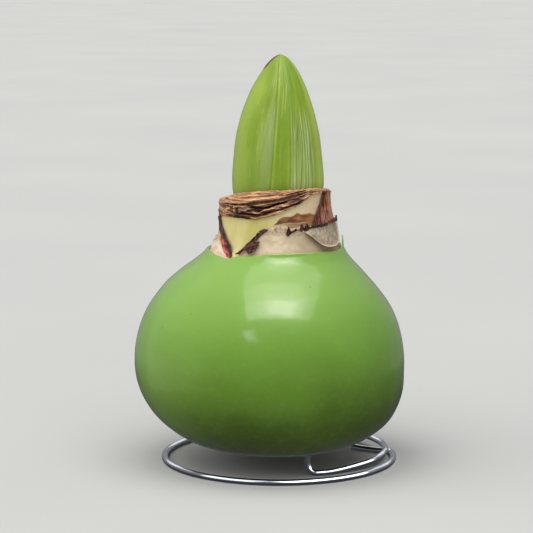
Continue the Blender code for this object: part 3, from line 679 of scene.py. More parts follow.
def left_marks(f, across, seam, height):
    """A pale painted sheen beside the seam, a shady band, a sunlit flank and a dried tip."""
    streak = f.noise(across * 80.0, height * 0.09, detail=6.0, rough=0.65)
    ragged = (leaf_veins(f, across, height) + streak - 1.0) * 3.4
    past = seam - (height.span(134.5, 118.0, 0.0, 5.2) + ragged)
    # Painted sheen: a pale reflection beside the seam.
    painted_sheen = past.span(-2.2, 1.2, 1.0, 0.0) * height.span(97.0, 116.0, 0.35, 1.0)
    painted_sheen = painted_sheen * height.span(130.0, 135.0, 1.0, 0.0) * streak.span(0.25, 0.6, 0.55, 1.0)
    f.paint(painted_sheen * 0.6, 150, 166, 112)
    shady = past.span(-0.4, 2.0) * past.span(2.2, 5.5, 1.0, 0.0)
    f.paint(shady * height.span(106.0, 116.0, 0.25, 1.0) * 0.34, 96, 124, 20)
    f.paint(past.span(4.5, 10.0, 0.0, 0.5), 160, 178, 84)
    low = height.span(99.0, 118.0, 1.0, 0.0) * streak.span(0.36, 0.6)
    f.paint(low * seam.span(8.0, 12.0, 1.0, 0.3) * 0.42, 112, 130, 58)
    f.paint(streak.span(0.52, 0.72, 0.0, 0.4), 170, 186, 108)
    f.paint(streak.span(0.3, 0.46, 0.36, 0.0), 96, 116, 36)
    bruise = f.mark("dry") + f.noise(1.3, 1.3, 0.8, detail=3.0).sway(0.6)
    f.paint(bruise.span(0.12, 0.5, 0.0, 0.7), 170, 146, 90)
    f.paint(bruise.span(0.52, 0.68, 0.0, 0.95), 66, 44, 30)
    # Painted shade: a dark line where the valves meet at the seam.
    painted_seam_shade = seam.span(0.08, 0.4, 0.8, 0.0) * height.span(104.0, 122.0, 0.35, 1.0)
    f.paint(painted_seam_shade, 52, 70, 20)


def right_marks(f, across, seam, height):
    """A fresh strip beside the seam, pale and dark lines outside it under a painted sheen, fine
    light veins, and a painted highlight on the lapping edge and painted shade at the seam.
    """
    f.paint(seam.band(0.9, 5.2, 0.8) * 0.45, 106, 140, 20)
    wander = f.noise(across * 22.0, height * 0.02, detail=2.0)
    line = (across * 216.0 + wander * 15.0).math("SINE")
    each = f.noise(across * 52.0, 3.0, detail=1.0)
    reach = (height - each.span(0.3, 0.7, 118.0, 130.0)).span(-4.0, 1.5, 1.0, 0.0)
    zone = (across + wander.sway(0.02)).band(0.122, 0.3, 0.014) * reach
    broken = f.noise(across * 52.0, height * 0.12, 7.0, detail=3.0)
    # The pale wash over the lined zone is painted sheen; its lines are the valve's own veins.
    f.paint(zone * broken.span(0.3, 0.6, 0.45, 1.0) * 0.5, 168, 184, 124)
    pale = line.span(0.3, 1.0) * (each + broken).span(0.8, 1.15, 0.1, 1.0)
    f.paint(zone * pale * 0.66, 198, 210, 164)
    gaps = line.span(-1.0, -0.55, 1.0, 0.0) * broken.span(0.35, 0.6, 0.3, 1.0)
    f.paint(zone * gaps * 0.65, 82, 112, 24)
    f.paint(across.span(0.29, 0.36, 0.0, 0.6), 182, 202, 96)
    first_line = across.band(0.113, 0.121, 0.005) * height.span(112.0, 124.0, 0.55, 0.0)
    f.paint(first_line, 78, 110, 22)
    # Painted highlight along the lapping edge beside the seam.
    lip = seam.band(0.2, 0.46, 0.12) * height.span(108.0, 118.0, 0.1, 0.45)
    f.paint(lip * height.span(134.0, 139.0, 1.0, 0.2), 176, 196, 108)
    fine = (seam.band(2.75, 3.0, 0.14) * height.band(126.0, 135.0, 1.5)
            + seam.band(1.75, 1.95, 0.14) * height.band(124.0, 133.0, 1.5))
    f.paint(fine * 0.6, 186, 206, 110)
    streak = f.noise(across * 95.0, height * 0.05, detail=5.0, rough=0.6)
    plain = height.span(128.0, 138.0, 1.0, 0.2)
    f.paint(plain * streak.span(0.3, 0.46, 0.2, 0.0), 98, 126, 24)
    f.paint(plain * streak.span(0.54, 0.72, 0.0, 0.2), 172, 192, 96)
    # Painted shade: dark along the very edge at the seam.
    dark = seam.span(-0.1, 0.12, 0.8, 0.0) * height.span(104.0, 122.0, 0.4, 1.0)
    f.paint(dark, 60, 84, 20)


def stalk_finish():
    f = Finish("stalk_green")
    fibre = f.noise(1.2, 1.2, 0.1)
    f.colour = f.ramp(fibre, (0.3, 120, 150, 70), (0.7, 170, 190, 110))
    return f.surface(0.5, f.bump(fibre, 0.2, 0.5))


def steel_finish():
    """Bright drawn wire with faint lines and a few dull spots."""
    f = Finish("steel_wire")
    smear = f.noise(0.3, 0.3, 3.0)
    fine = f.noise(3.0, 3.0, 3.0, detail=3.0)
    f.colour = f.ramp(smear, (0.3, 158, 163, 172), (0.7, 180, 184, 190))
    rough = (smear + fine * 0.4).span(0.4, 0.9, 0.1, 0.19)
    return f.surface(rough, f.bump(fine, 0.008, 0.2), Metallic=1.0)


def floor_finish():
    f = Finish("floor")
    cloud = f.noise(0.004, 0.004, 0.004, detail=2.0)
    f.colour = f.ramp(cloud, (0.2, 188, 188, 186), (0.8, 195, 194, 191))
    return f.surface(0.7, Specular_IOR_Level=0.0)


def wax_points(radius, height, azimuth):
    """Points of a turned wax surface, waved along its edge, uneven and leaning."""
    top = WAX_OUTLINE[-1][1]
    upper = through(WAX_OUTLINE, 9)
    upper = upper[upper[:, 1] >= 30.0]
    edge = round_table(WAX_EDGE, azimuth) + 0.3 * jagged(azimuth, 0.3, 4.0)
    lift = ease((height - 70.0) / (top - 70.0)) * edge
    change = (np.interp(height + lift, upper[:, 1], upper[:, 0])
              - np.interp(height, upper[:, 1], upper[:, 0]))
    return on_neck(azimuth, height + lift, radius + 0.75 * change * (radius > 0.5))


def pierce(piece, x, y, low, high, radius):
    """Cuts a round hole up through a piece."""
    shape = bmesh.new()
    bmesh.ops.create_cone(shape, cap_ends=True, segments=32, radius1=radius * MM,
                          radius2=radius * MM, depth=(high - low) * MM)
    bmesh.ops.translate(shape, verts=shape.verts, vec=Vector((x, y, (low + high) / 2)) * MM)
    mesh = bpy.data.meshes.new("hole")
    shape.to_mesh(mesh)
    shape.free()
    cutter = add_object("hole", mesh)
    step = piece.modifiers.new("hole", "BOOLEAN")
    step.operation = "DIFFERENCE"
    step.solver = "EXACT"
    step.object = cutter
    result = evaluated_mesh(piece)
    piece.modifiers.clear()
    piece.data = result
    bpy.data.objects.remove(cutter)


def wax_tongue(across, up):
    """A thin run of wax that stands off the neck at the right."""
    azimuth = TONGUE_REACH[0] + TONGUE_REACH[1] * across
    length = 0.5 + 4.6 * hump(across, 0.5, 0.5) + 0.2 * jagged(azimuth, 0.8, 5.0)
    return azimuth, TONGUE_FOOT + up * length, TONGUE_RADIUS - 0.25 * up + 0 * azimuth, 0.0


def make_wax():
    """The coat, with a bead at its edge and a lip round the leg, and a run of wax on the neck."""
    finish = wax_finish()
    outline = through(WAX_OUTLINE, 8)
    top = outline[-1, 1]
    thin = ease((outline[:, 1] - WAX_THINS_FROM) / (top - WAX_THINS_FROM))
    depth = WAX_THICKNESS + (WAX_EDGE_THICKNESS - WAX_THICKNESS) * thin
    way = np.gradient(outline, axis=0)
    way /= np.linalg.norm(way, axis=1)[:, None]
    inner = outline + np.stack([-way[:, 1] * depth, way[:, 0] * depth], 1)
    inner[0, 0] = 0.0
    azimuth = np.linspace(0, 360, WAX_COLUMNS, endpoint=False)[:, None]
    cosine, sine = turn_of(azimuth)
    radius, height = outline.T
    lumps = fractal(radius * cosine * 0.05, radius * sine * 0.05, height * 0.05 + 3, 3)
    lumps = 0.12 * lumps * ease(radius / 15.0) * ease((top - height) / 8.0)
    near_edge = ease((height - top + 0.5) / 0.5)
    bead = 0.07 * jagged(azimuth, 0.2, 6.0) * hump(height, top - 0.8, 1.4) - 0.4 * near_edge**2
    from_leg = np.hypot(radius * cosine - LEG_X + 2.6, radius * sine - LEG_Y)
    lip = LIP_HEIGHT * np.exp(-((from_leg - 1.7) / 0.8) ** 2) * (height < 20.0)
    outer = wax_points(radius + lumps + bead, height - lip, azimuth)
    tuck = 0.45 * ease((inner[:, 1] - top + 2.5) / 2.5)
    inner = wax_points(inner[:, 0] - tuck, inner[:, 1] + 0 * azimuth, azimuth)
    wax = add_piece("wax_skin", np.stack([outer, inner]),
                    shell_faces(WAX_COLUMNS, len(outline), True, foot=False), finish,
                    ["wax_coat"])
    pierce(wax, LEG_X, LEG_Y, -5.0, 15.0, WIRE_RADIUS + LEG_CLEARANCE)
    sheet("wax_tongue", 60, 30, wax_tongue, 0.4, finish, "wax_coat", rim=0.4)


def make_bulb():
    """The bulb inside the wax, its bare neck, the cut top and the hole for the stalk."""
    azimuth = np.linspace(0, 360, NECK_COLUMNS, endpoint=False)
    cosine, sine = turn_of(azimuth)
    outline = through(WAX_OUTLINE, 3)
    belly = outline[outline[:, 1] < SCALE_FOOT - 1.5]
    rows = []
    for radius, height in belly:
        shrunk = max(radius - INSIDE_WAX, 0.0) if height > 20 else radius * 0.96
        rows.append(on_neck(azimuth, height + (INSIDE_WAX if height < 20 else 0.0), shrunk))
    top = round_table(COLLAR_FOOT, azimuth) + 0.9
    wedge = hump(azimuth, 227.0, 13.0)
    for share in np.linspace(0, 1, 70):
        height = SCALE_FOOT + share * (top - SCALE_FOOT)
        radius = along(NECK, height) + 1.1 * wedge * ease((79.0 - height) / 3.2)
        fibres = 0.05 * round_noise(azimuth, 30, height * 0.05, 3)
        swell = 0.18 * round_noise(azimuth, 1.5, height * 0.1 + 7, 2)
        soft = 0.5 * ease((share - 0.97) / 0.03)
        rows.append(on_neck(azimuth, height, radius + fibres + swell - soft))
    rim = rows[-1]
    mouth_radius = HOLE_RADIUS + HOLE_FLARE * np.maximum(top - HOLE_FLARE_FROM, 0)
    mouth = np.stack([HOLE_X + mouth_radius * cosine, mouth_radius * sine, top], -1)
    for share in np.linspace(0.08, 1, 20):
        ring = rim + (mouth - rim) * share
        ring[:, 2] += 0.35 * np.abs(np.sin(math.pi * LAYERS_IN_CUT * share)) - 0.2
        ring[:, 2] += 0.2 * round_noise(azimuth, 4, share * 5, 3)
        rows.append(ring)
    for share in (0.3, 0.7, 1.0):
        rows.append(np.stack([HOLE_X + HOLE_RADIUS * cosine, HOLE_RADIUS * sine,
                              top + share * (HOLE_FLOOR - top)], -1))
    rows.append(np.tile([HOLE_X, 0.0, HOLE_FLOOR], (NECK_COLUMNS, 1)))
    faces = grid_faces(NECK_COLUMNS, len(rows), 0, True).tolist()
    add_piece("bulb_and_neck", np.stack(rows, 1), faces, flesh_finish(), ["bulb"])


# A raised lip that runs along the front of the outer scale, as (azimuth, height)
SCALE_LIP = ((284, 83.8), (288, 84.2), (294, 84.6), (300, 85.3), (309, 86.1))

# Skins between two edges. Each row, from foot to top, has the azimuth and the height of the left
# edge and those of the right one
LEFT_SKIN = ((225.8, 75.2, 227.6, 75.3), (222.6, 76.1, 228.2, 76.2), (217.4, 77.5, 226.8, 77.8),
             (212.2, 79.0, 224.8, 79.4), (207.0, 81.2, 218.2, 81.5), (201.6, 83.7, 211.4, 83.8),
             (196.0, 86.2, 202.4, 86.2), (189.5, 88.8, 193.4, 89.2))
MARGIN = ((233.2, 77.2, 238.4, 77.3), (238.0, 79.0, 243.6, 79.4), (243.4, 81.0, 248.4, 81.1),
          (248.0, 82.6, 253.8, 83.0), (252.8, 84.5, 257.8, 84.3), (256.6, 85.9, 261.4, 85.3),
          (260.4, 86.4, 264.2, 86.0))
MARGIN_FLAP = ((247.2, 77.9, 248.8, 78.1), (244.6, 78.7, 251.8, 78.7), (242.2, 79.3, 253.6, 79.8),
               (245.0, 80.3, 255.2, 80.9), (248.6, 81.4, 255.6, 82.2))
FIBROUS_STRIP = ((308.4, 86.5, 357.0, 87.0), (312.2, 88.2, 361.0, 88.8), (319.0, 91.4, 363.0, 92.0),
                 (325.6, 94.6, 363.0, 95.0), (334.0, 98.1, 360.0, 97.7))

# Skins that lie round the neck: their first azimuth and how far they reach, and their lower and
# upper edges as (azimuth, height)
SMEAR_REACH = (269.0, 48.0)
SMEAR_LOW = ((269, 87.2), (275, 87.5), (280, 87.8), (287, 87.8), (294, 87.7), (302, 87.8),
             (310, 88.0), (317, 88.2))
SMEAR_HIGH = ((269, 87.8), (274, 89.3), (278.4, 90.2), (283.6, 90.5), (289, 90.8), (293.6, 91.5),
              (300.4, 91.1), (308, 91.2), (317, 90.6))
TORN_REACH = (280.0, 50.0)
TORN_LOW = ((280.2, 84.3), (281.6, 84.1), (283.0, 84.2), (284.4, 84.6), (287.0, 85.0),
            (290.0, 85.4), (292.0, 85.7), (293.6, 85.75), (295.2, 85.5), (297.4, 85.9),
            (299.4, 85.5), (302.2, 85.5), (304.0, 86.0), (309.0, 86.2), (315.6, 86.3),
            (324.8, 86.3), (334.8, 86.4))
TORN_HIGH = ((280.2, 84.8), (281.4, 86.2), (282.6, 87.0), (283.8, 86.1), (284.6, 85.4),
             (287.2, 85.8), (289.6, 86.3), (291.2, 86.0), (293.2, 85.95), (294.6, 87.1),
             (295.6, 87.6), (297.0, 87.1), (297.8, 86.3), (299.2, 86.9), (301.0, 87.6),
             (302.4, 87.1), (303.6, 86.5), (309.2, 86.9), (315.8, 87.0), (325.2, 87.1),
             (335.6, 87.2))
TIP_REACH = (330.0, 32.0)
PAPERY_REACH = (299.0, 77.0)
PAPERY_LOW = ((299, 84.6), (302.2, 83.8), (305.0, 82.7), (307.6, 81.7), (310.4, 80.8),
              (313.6, 80.0), (316.4, 79.55), (319.6, 79.25), (326, 79.15), (334, 79.3),
              (340, 79.8), (350, 81.5), (358, 84.0), (366, 85.6), (376, 86.2))
PAPERY_HIGH = ((299, 85.0), (303, 85.8), (309, 86.4), (317, 86.9), (339, 87.1), (359, 87.0),
               (376, 87.6))


def outer_scale(across, up):
    azimuth = 360.0 * across
    torn = 0.35 * jagged(azimuth, 0.25, 3.0) + 0.3 * jagged(azimuth, 1.1, 8.0)
    steep = hump(azimuth, 226.0, 34.0)
    edge = round_table(SCALE_EDGE, azimuth) + torn * (1 - 0.6 * steep)
    height = SCALE_FOOT + up * (edge - SCALE_FOOT)
    swell = 0.16 * round_noise(azimuth, 3, height * 0.15, 3)
    raised = 0.35 * hump(height, along(SCALE_LIP, azimuth), 0.6) * hump(azimuth, 297.0, 15.0)
    dried = np.minimum(1.0, 1.5 * hump(azimuth, 276.0, 26.0)) * ease((height - 83.4) / 1.3)
    return azimuth, height, along(NECK, height) + 0.1 + swell + raised, dried


def outer_scale_thickness(height):
    return along(SCALE, height) - along(NECK, height) - 0.1


def between(rows, across, up):
    """A place between the edges that the rows give."""
    spots = np.linspace(0, 1, len(rows))
    a, low, b, high = (along(list(zip(spots, column)), up) for column in zip(*rows))
    return a + (b - a) * across, low + (high - low) * across


def left_skin(across, up):
    azimuth, height = between(LEFT_SKIN, across, up)
    azimuth = azimuth + 0.6 * fractal(up * 9, across * 0.5, 4.0, 3)
    fold = creases(across * 2.5, up * 4, 1.0, 3)
    curl = 0.35 * (2 * across - 1) ** 2
    stand = 0.9 + curl + 0.35 * fold - 0.75 * ease(up / 0.8)
    return azimuth, height, along(NECK, height) + stand, fold


def margin_skin(across, up):
    azimuth, height = between(MARGIN, across, up)
    fold = creases(across * 1.5, up * 6, 5.0, 3)
    azimuth = azimuth + 0.9 * fractal(up * 11, across * 1.5, 7.0, 3)
    height = height + 0.3 * fractal(up * 10, across * 2, 3.0, 3)
    return azimuth, height, along(SCALE, height) + 0.1 + 0.4 * fold, fold


def margin_flap(across, up):
    azimuth, height = between(MARGIN_FLAP, across, up)
    fold = creases(across * 2, up * 2.5, 9.0, 3)
    azimuth = azimuth + 0.5 * fractal(up * 5, across * 3, 2.0, 3)
    stand = 0.4 + 0.8 * (1 - up) + 0.4 * fold
    return azimuth, height, along(SCALE, height) + stand, 0.25 + 0.75 * fold


def fibrous_strip(across, up):
    azimuth, height = between(FIBROUS_STRIP, across, up)
    fold = creases(azimuth * 0.33, height * 0.12, 2.0, 4)
    height = height + 0.6 * fractal(azimuth * 0.4, up * 2, 4.0, 4) * (1 - up) ** 2
    flare = 0.9 * (1 - up) ** 3
    tone = fold * (0.35 + 0.65 * ease(across / 0.28))
    return azimuth, height, along(NECK, height) + 0.15 + flare + 0.5 * fold, tone


def orange_smear(across, up):
    azimuth = SMEAR_REACH[0] + SMEAR_REACH[1] * across
    low = along(SMEAR_LOW, azimuth)
    height = low + (along(SMEAR_HIGH, azimuth) - low) * up
    fold = 0.5 + 0.5 * fractal(azimuth * 0.2, height * 0.9, 6.0, 4)
    return azimuth, height, along(NECK, height) + 0.04 + 0.1 * fold, fold


def torn_rim(across, up):
    azimuth = TORN_REACH[0] + TORN_REACH[1] * across
    mass = hump(azimuth, 282.5, 3.4) + hump(azimuth, 296.0, 4.4) + hump(azimuth, 301.5, 3.6)
    mass = np.minimum(mass + 0.5 * ease((azimuth - 303.0) / 3.0), 1.0)
    low = along(TORN_LOW, azimuth) + 0.08 * jagged(azimuth, 2.0, 9.0) - 0.35 * mass
    high = along(TORN_HIGH, azimuth) + 0.15 * jagged(azimuth, 1.5, 2.0) + 0.3 * mass
    height = low + (np.maximum(high, low + 0.15) - low) * up
    fold = creases(azimuth * 0.4, height * 0.6, 8.0, 3)
    return azimuth, height, along(SCALE, height) + 0.1 + 0.3 * fold + 0.4 * up, fold * 0.8


def dark_tip(across, up):
    azimuth = TIP_REACH[0] + TIP_REACH[1] * across
    middle = 87.2 + 0.5 * across + 0.3 * fractal(across * 3, 2.0, 1.0, 2)
    half = 0.3 + 0.35 * ease(across / 0.4) + 0.5 * hump(across, 0.86, 0.2)
    height = middle + half * (2 * up - 1)
    fold = creases(across * 5, up * 2, 4.0, 3)
    stand = 0.2 + 0.6 * ease((across - 0.2) / 0.7) + 0.35 * fold
    return azimuth, height, along(SCALE, height) + stand, fold * (1 - 0.8 * ease(across / 0.8))


def papery_flap(across, up):
    azimuth = PAPERY_REACH[0] + PAPERY_REACH[1] * across
    low = along(PAPERY_LOW, azimuth) + 0.08 * jagged(azimuth, 0.6, 5.0)
    height = low + (along(PAPERY_HIGH, azimuth) - low) * up
    lifted = ease((1 - up) / 0.9) * (0.5 + 1.1 * hump(across, 0.28, 0.4))
    curl = 0.45 * ease((0.16 - up) / 0.16)
    wave = 0.2 * fractal(azimuth * 0.12, height * 0.1, 3.0, 2)
    ribs = 0.07 * fractal(azimuth * 0.9, height * 0.05, 6.0, 2)
    return azimuth, height, along(SCALE, height) + 0.25 + lifted + curl + wave + ribs, up


def make_skins():
    """The outer scale, and the dead edges and skins that lie on it and on the neck."""
    sheet("outer_scale_torn", 420, 34, outer_scale, outer_scale_thickness, cream_finish(),
          "outer_scale", wrap=True, rim=0.7)
    red = red_finish()
    dark = dried_finish("dark_skin", (24, 11, 9), (58, 28, 21), (110, 66, 50), (40, 19, 14),
                        (1.2, 1.2, 0.5), 0.55)
    brown = dried_finish("fibrous_skin", (44, 19, 14), (116, 62, 42), (202, 146, 112),
                         (96, 52, 36), (4.6, 4.6, 0.3), 0.55)
    sheet("left_edge_skin", 30, 120, left_skin, 0.4, red, "tunic_left", rim=0.35)
    sheet("margin_skin", 26, 120, margin_skin, 0.4, dark, "tunic_front", rim=0.4)
    sheet("margin_flap", 36, 50, margin_flap, 0.35, dark, "tunic_front", rim=0.35)
    sheet("fibrous_strip", 150, 70, fibrous_strip, 0.45, brown, "tunic_right")
    sheet("orange_smear", 120, 24, orange_smear, 0.14, orange_finish(), "tunic_torn", rim=0.8)
    sheet("torn_dark_rim", 220, 18, torn_rim, 0.35, dark, "tunic_torn", rim=0.25)
    sheet("dark_tip", 70, 20, dark_tip, 0.5, red, "papery_scale", rim=0.4)
    sheet("papery_flap", 170, 60, papery_flap, 0.24, papery_finish(), "papery_scale", rim=0.3)


COLLAR_X = along(BUD_LEAN, 98.0)


def collar_wall(azimuth, height, radius):
    """Places the collar's layers round the bud's middle, which is not the neck's."""
    cosine, sine = turn_of(azimuth)
    return np.stack([COLLAR_X + radius * cosine, radius * sine, height + 0 * cosine], -1)


def collar_radius(azimuth):
    """From the bud's middle to the outside of the neck."""
    shift = COLLAR_X - along(LEAN, 96.0)
    return along(NECK, 96.0) - shift * turn_of(azimuth)[0]


# Creases (below 0) and ridges (above 0) of the collar's front, as (line, half width, size).
# They shape the layers, and also paint shade into the creases and light onto the ridges.
OUTER_CREASES = (
    (((222, 91.7), (236.6, 91.2), (246.4, 90.8), (253.6, 91.0), (263.8, 92.0)), 0.28, -0.6),
    (((248, 92.2), (252, 91.6), (261.8, 92.1), (271.8, 92.9), (282.2, 93.9), (298.4, 96.0)),
     0.3, -0.8),
    (((212, 92.2), (226, 92.6), (240, 92.0), (252, 92.3)), 0.22, -0.35),
    (((255, 92.6), (268, 93.5), (284, 94.7), (296, 96.2)), 0.2, 0.35),
    (((232, 90.2), (246, 89.9), (256, 90.4), (272, 92.1), (290, 94.6)), 0.25, 0.3),
    (((215, 94.0), (220, 91.0)), 0.35, -0.9),
    (((218.5, 94.3), (226, 91.0)), 0.32, 0.8),
    (((222, 94.4), (229.5, 91.4)), 0.3, -1.0),
    (((209, 91.0), (216.5, 93.2)), 0.3, 0.45),
    (((226, 93.8), (234, 92.2)), 0.3, 0.5))
MIDDLE_CREASES = (
    (((226, 94.3), (247.4, 94.2), (263.8, 95.3), (279.0, 96.5), (304, 98.4)), 0.26, 0.55),
    (((229, 94.8), (247.4, 94.7), (258, 95.3), (272, 96.5), (290, 97.9)), 0.2, -0.5),
    (((236, 93.9), (247.4, 93.2), (256, 93.4), (268, 94.4), (284, 96.2)), 0.42, -0.9),
    (((244, 92.2), (251, 93.2), (258, 94.0), (266, 94.6)), 0.16, 0.4),
    (((212, 94.2), (220, 93.0), (228, 93.6)), 0.3, 0.5))
INNER_CREASES = (
    (((212, 96.3), (235.4, 96.7), (253.6, 97.2), (266.8, 97.9), (277, 98.3), (290, 99.1)),
     0.18, -0.35),
    (((208, 96.9), (229.4, 97.4), (251.6, 98.2), (266.8, 98.4), (284, 99.2)), 0.18, -0.3),
    (((222, 95.6), (240, 95.8), (256, 96.6), (276, 97.6)), 0.26, 0.4),
    (((276, 97.5), (290, 98.4), (303, 99.1)), 0.22, -0.6),
    (((268, 97.3), (282, 98.0), (296, 98.9)), 0.16, -0.4),
    (((200, 95.6), (212, 95.4), (224, 95.2)), 0.25, -0.35))


def knot(azimuth):
    return hump(azimuth, *KNOT)


def gap(azimuth):
    return hump(azimuth, *GAP)


def relief(azimuth, height, up, seed, count, lines, crumpled=1.0):
    """How far the crumpled face stands out in millimetres, and a tone that paints shade into its
    creases and light onto its ridges and layers' lower edges.
    """
    calm = crumpled * (1 - 0.7 * hump(azimuth, *CALM_SIDE))
    fold = round_noise(azimuth, 2.2, height * 0.6 + seed, 5, creases)
    waves = round_noise(azimuth, 3.2, height * 0.16 + seed, 3)
    step = layered(azimuth, up, seed, count)
    drawn = strokes(azimuth, height, lines)
    stand = ((0.35 + 0.6 * knot(azimuth)) * (fold - 0.4) + 0.45 * (step - 0.5)) * calm + drawn
    # Painted shade and light: low tone in creases, high on ridges and layer edges.
    tone = 0.5 + calm * (0.45 * (fold - 0.45) + 0.4 * (step - 0.5)) + 0.85 * drawn
    return stand + 0.3 * waves, np.clip(tone, 0.0, 1.1)


def outer_layer(across, up):
    azimuth = 360.0 * across
    low = round_table(COLLAR_FOOT, azimuth) - 0.1 + 0.25 * jagged(azimuth, 0.4, 1.0)
    high = round_table(OUTER_TOP, azimuth) + 0.35 * jagged(azimuth, 0.5, 6.0)
    height = low + np.maximum(high - low, 0.5) * up
    stand, tone = relief(azimuth, height, up, 2.0, 2.5, OUTER_CREASES)
    tone = tone - 0.6 * hump(azimuth, 232.0, 20.0) + 0.1 * hump(azimuth, 202.0, 18.0)
    bulge = 0.45 * np.sin(math.pi * up) + (0.75 * gap(azimuth) - 0.35) * up
    radius = collar_radius(azimuth) + 0.3 + bulge + stand * ease(up / 0.12)
    return azimuth, height, radius, tone


def middle_layer(across, up):
    first, last = MIDDLE_TOP[0][0], MIDDLE_TOP[-1][0]
    azimuth = first + (last - first) * across
    high = along(MIDDLE_TOP, azimuth) + 0.25 * jagged(azimuth, 0.5, 3.0)
    low = high - 2.6 - 0.6 * knot(azimuth)
    height = low + (high - low) * up
    stand, tone = relief(azimuth, height, up, 9.0, 2.0, MIDDLE_CREASES)
    radius = collar_radius(azimuth) - 0.5 + 0.9 * up - 1.1 * gap(azimuth) * (1 - up) ** 1.5
    # Painted shadow: darker low on the middle layer where the outer layer gapes over it.
    tone = tone * (1 - 0.8 * gap(azimuth) * ease((0.55 - up) / 0.4))
    return azimuth, height, radius + stand, tone


def inner_layer(across, up):
    """Rises along the bud, turns over at its crest and hangs down over the middle layer."""
    azimuth = 360.0 * across
    high = round_table(INNER_TOP, azimuth) + 0.25 * jagged(azimuth, 0.5, 9.0)
    hem = round_table(INNER_HEM, azimuth) + 0.25 * jagged(azimuth, 0.5, 7.0)
    hem = np.minimum(hem, high - 0.7)
    foot = round_table(COLLAR_FOOT, azimuth) + 1.2
    rise = np.sin(np.clip(up / INNER_CREST, 0, 1) * math.pi / 2)
    fall = 1 - np.cos(np.clip((up - INNER_CREST) / (1 - INNER_CREST), 0, 1) * math.pi / 2)
    height = np.where(up < INNER_CREST, foot + (high - foot) * rise, high - (high - hem) * fall)
    out = ease((up - 0.22) / 0.6)
    inside = COLLAR_INSIDE + 0.1 * (1 - rise)
    stand, tone = relief(azimuth, height, 1 - up, 4.0, 3.0, INNER_CREASES, 0.65)
    radius = inside + (collar_radius(azimuth) + 0.3 - inside) * out + stand * out
    return azimuth, height, np.maximum(radius, inside), tone


def make_collar():
    """Dried scale ends in crumpled layers round the bud, on the oblique cut of the neck."""
    flat = (0.16, 0.16, 2.4)
    tan = dried_finish("dried_rim_tan", (38, 20, 12), (116, 74, 48), (222, 172, 132),
                       (208, 146, 98), flat, 0.5)
    grey = dried_finish("dried_rim_grey", (26, 14, 11), (96, 63, 48), (202, 156, 126),
                        (216, 168, 130), flat, 0.5)
    ochre = dried_finish("dried_rim_ochre", (62, 34, 22), (168, 119, 82), (236, 188, 144),
                         (218, 164, 116), flat, 0.5)
    for name, columns, rows, place, thickness, finish, node, wrap in (
            ("collar_outer", 620, 44, outer_layer, 0.35, tan, "dried_rim_outer", True),
            ("collar_middle", 320, 44, middle_layer, 0.3, grey, "dried_rim_middle", False),
            ("collar_inner", 620, 56, inner_layer, 0.3, ochre, "dried_rim_inner", True)):
        sheet(name, columns, rows, place, thickness, finish, node, wrap, 0.35, collar_wall)


def make_bud():
    """Two spathe valves. In front the right one laps over the left, at the back the other way."""
    profile = through(BUD_OUTLINE, 8)
    length = np.concatenate([[0], np.cumsum(np.linalg.norm(np.diff(profile, axis=0), axis=1))])
    up = np.linspace(0, 1, VALVE_ROWS) ** 0.9
    radius, height = (np.interp(up * length[-1], length, profile[:, k]) for k in (0, 1))
    middle = along(BUD_LEAN, height)
    reach = (along(SEAM_LINE, height) - middle) / np.maximum(radius, 0.5)
    seam = np.degrees(np.arccos(np.clip(reach, -0.6, 0.6)))
    widest = radius.max()

    def valve(name, start, stop, finish, node, side):
        across = np.linspace(0, 1, VALVE_COLUMNS)[:, None]
        azimuth = start + (stop - start) * across
        cosine, sine = turn_of(azimuth)
        arc = radius * np.radians(np.abs(stop - start))
        share = radius / widest
        ribs = 0.09 * fractal(across * 26 + 40 * side, up * 0.6, 2.0, 2)
        from_lip, from_tuck = across * arc, (1 - across) * arc
        lip = 0.25 * ease(1 - from_lip / 2.2) * ease(from_lip / 0.25 + 0.15)
        tuck = 0.5 * ease(1 - from_tuck / 3.2) + 0.5 * ease(1 - (from_tuck - 1.5) / 0.8)
        around = radius + (ribs + lip - 0.75 * tuck) * ease(share * 2.2)

        def points(r):
            return np.stack([middle + r * cosine, r * sine * BUD_DEPTH, height + 0 * r], -1)
        border = np.minimum(across, 1 - across) * arc
        thinned = 0.3 + 0.7 * ease(border / 0.5)
        thickness = VALVE_THICKNESS * np.minimum(1.0, share * 2.0) * thinned
        from_seam = np.abs((azimuth + 180.0) % 360.0 - 180.0 + seam)
        in_from_left = radius * (1 - turn_of(azimuth - 180.0)[0])
        dry = ease(1 - in_from_left / 1.5) * ease((height - DRY_TIP_FROM) / 3.0) * (1 - side)
        marks = {"across": across + 0 * around, "dry": dry, "seam": radius * np.radians(from_seam)}
        add_piece(name, np.stack([points(around), points(np.maximum(around - thickness, 0.0))]),
                  shell_faces(VALVE_COLUMNS, VALVE_ROWS, False), finish, [node], marks, 60.0)

    under, over = (np.degrees(reach / np.maximum(radius, 2.0)) for reach in (LAP_UNDER, LAP_OVER))
    valve("valve_left", seam - over, 360.0 - seam + under,
          bract_finish("bract_green", left_marks), "spathe_left", 0)
    valve("valve_right", -seam - over, seam + under,
          bract_finish("bract_bright_green", right_marks), "spathe_right", 1)


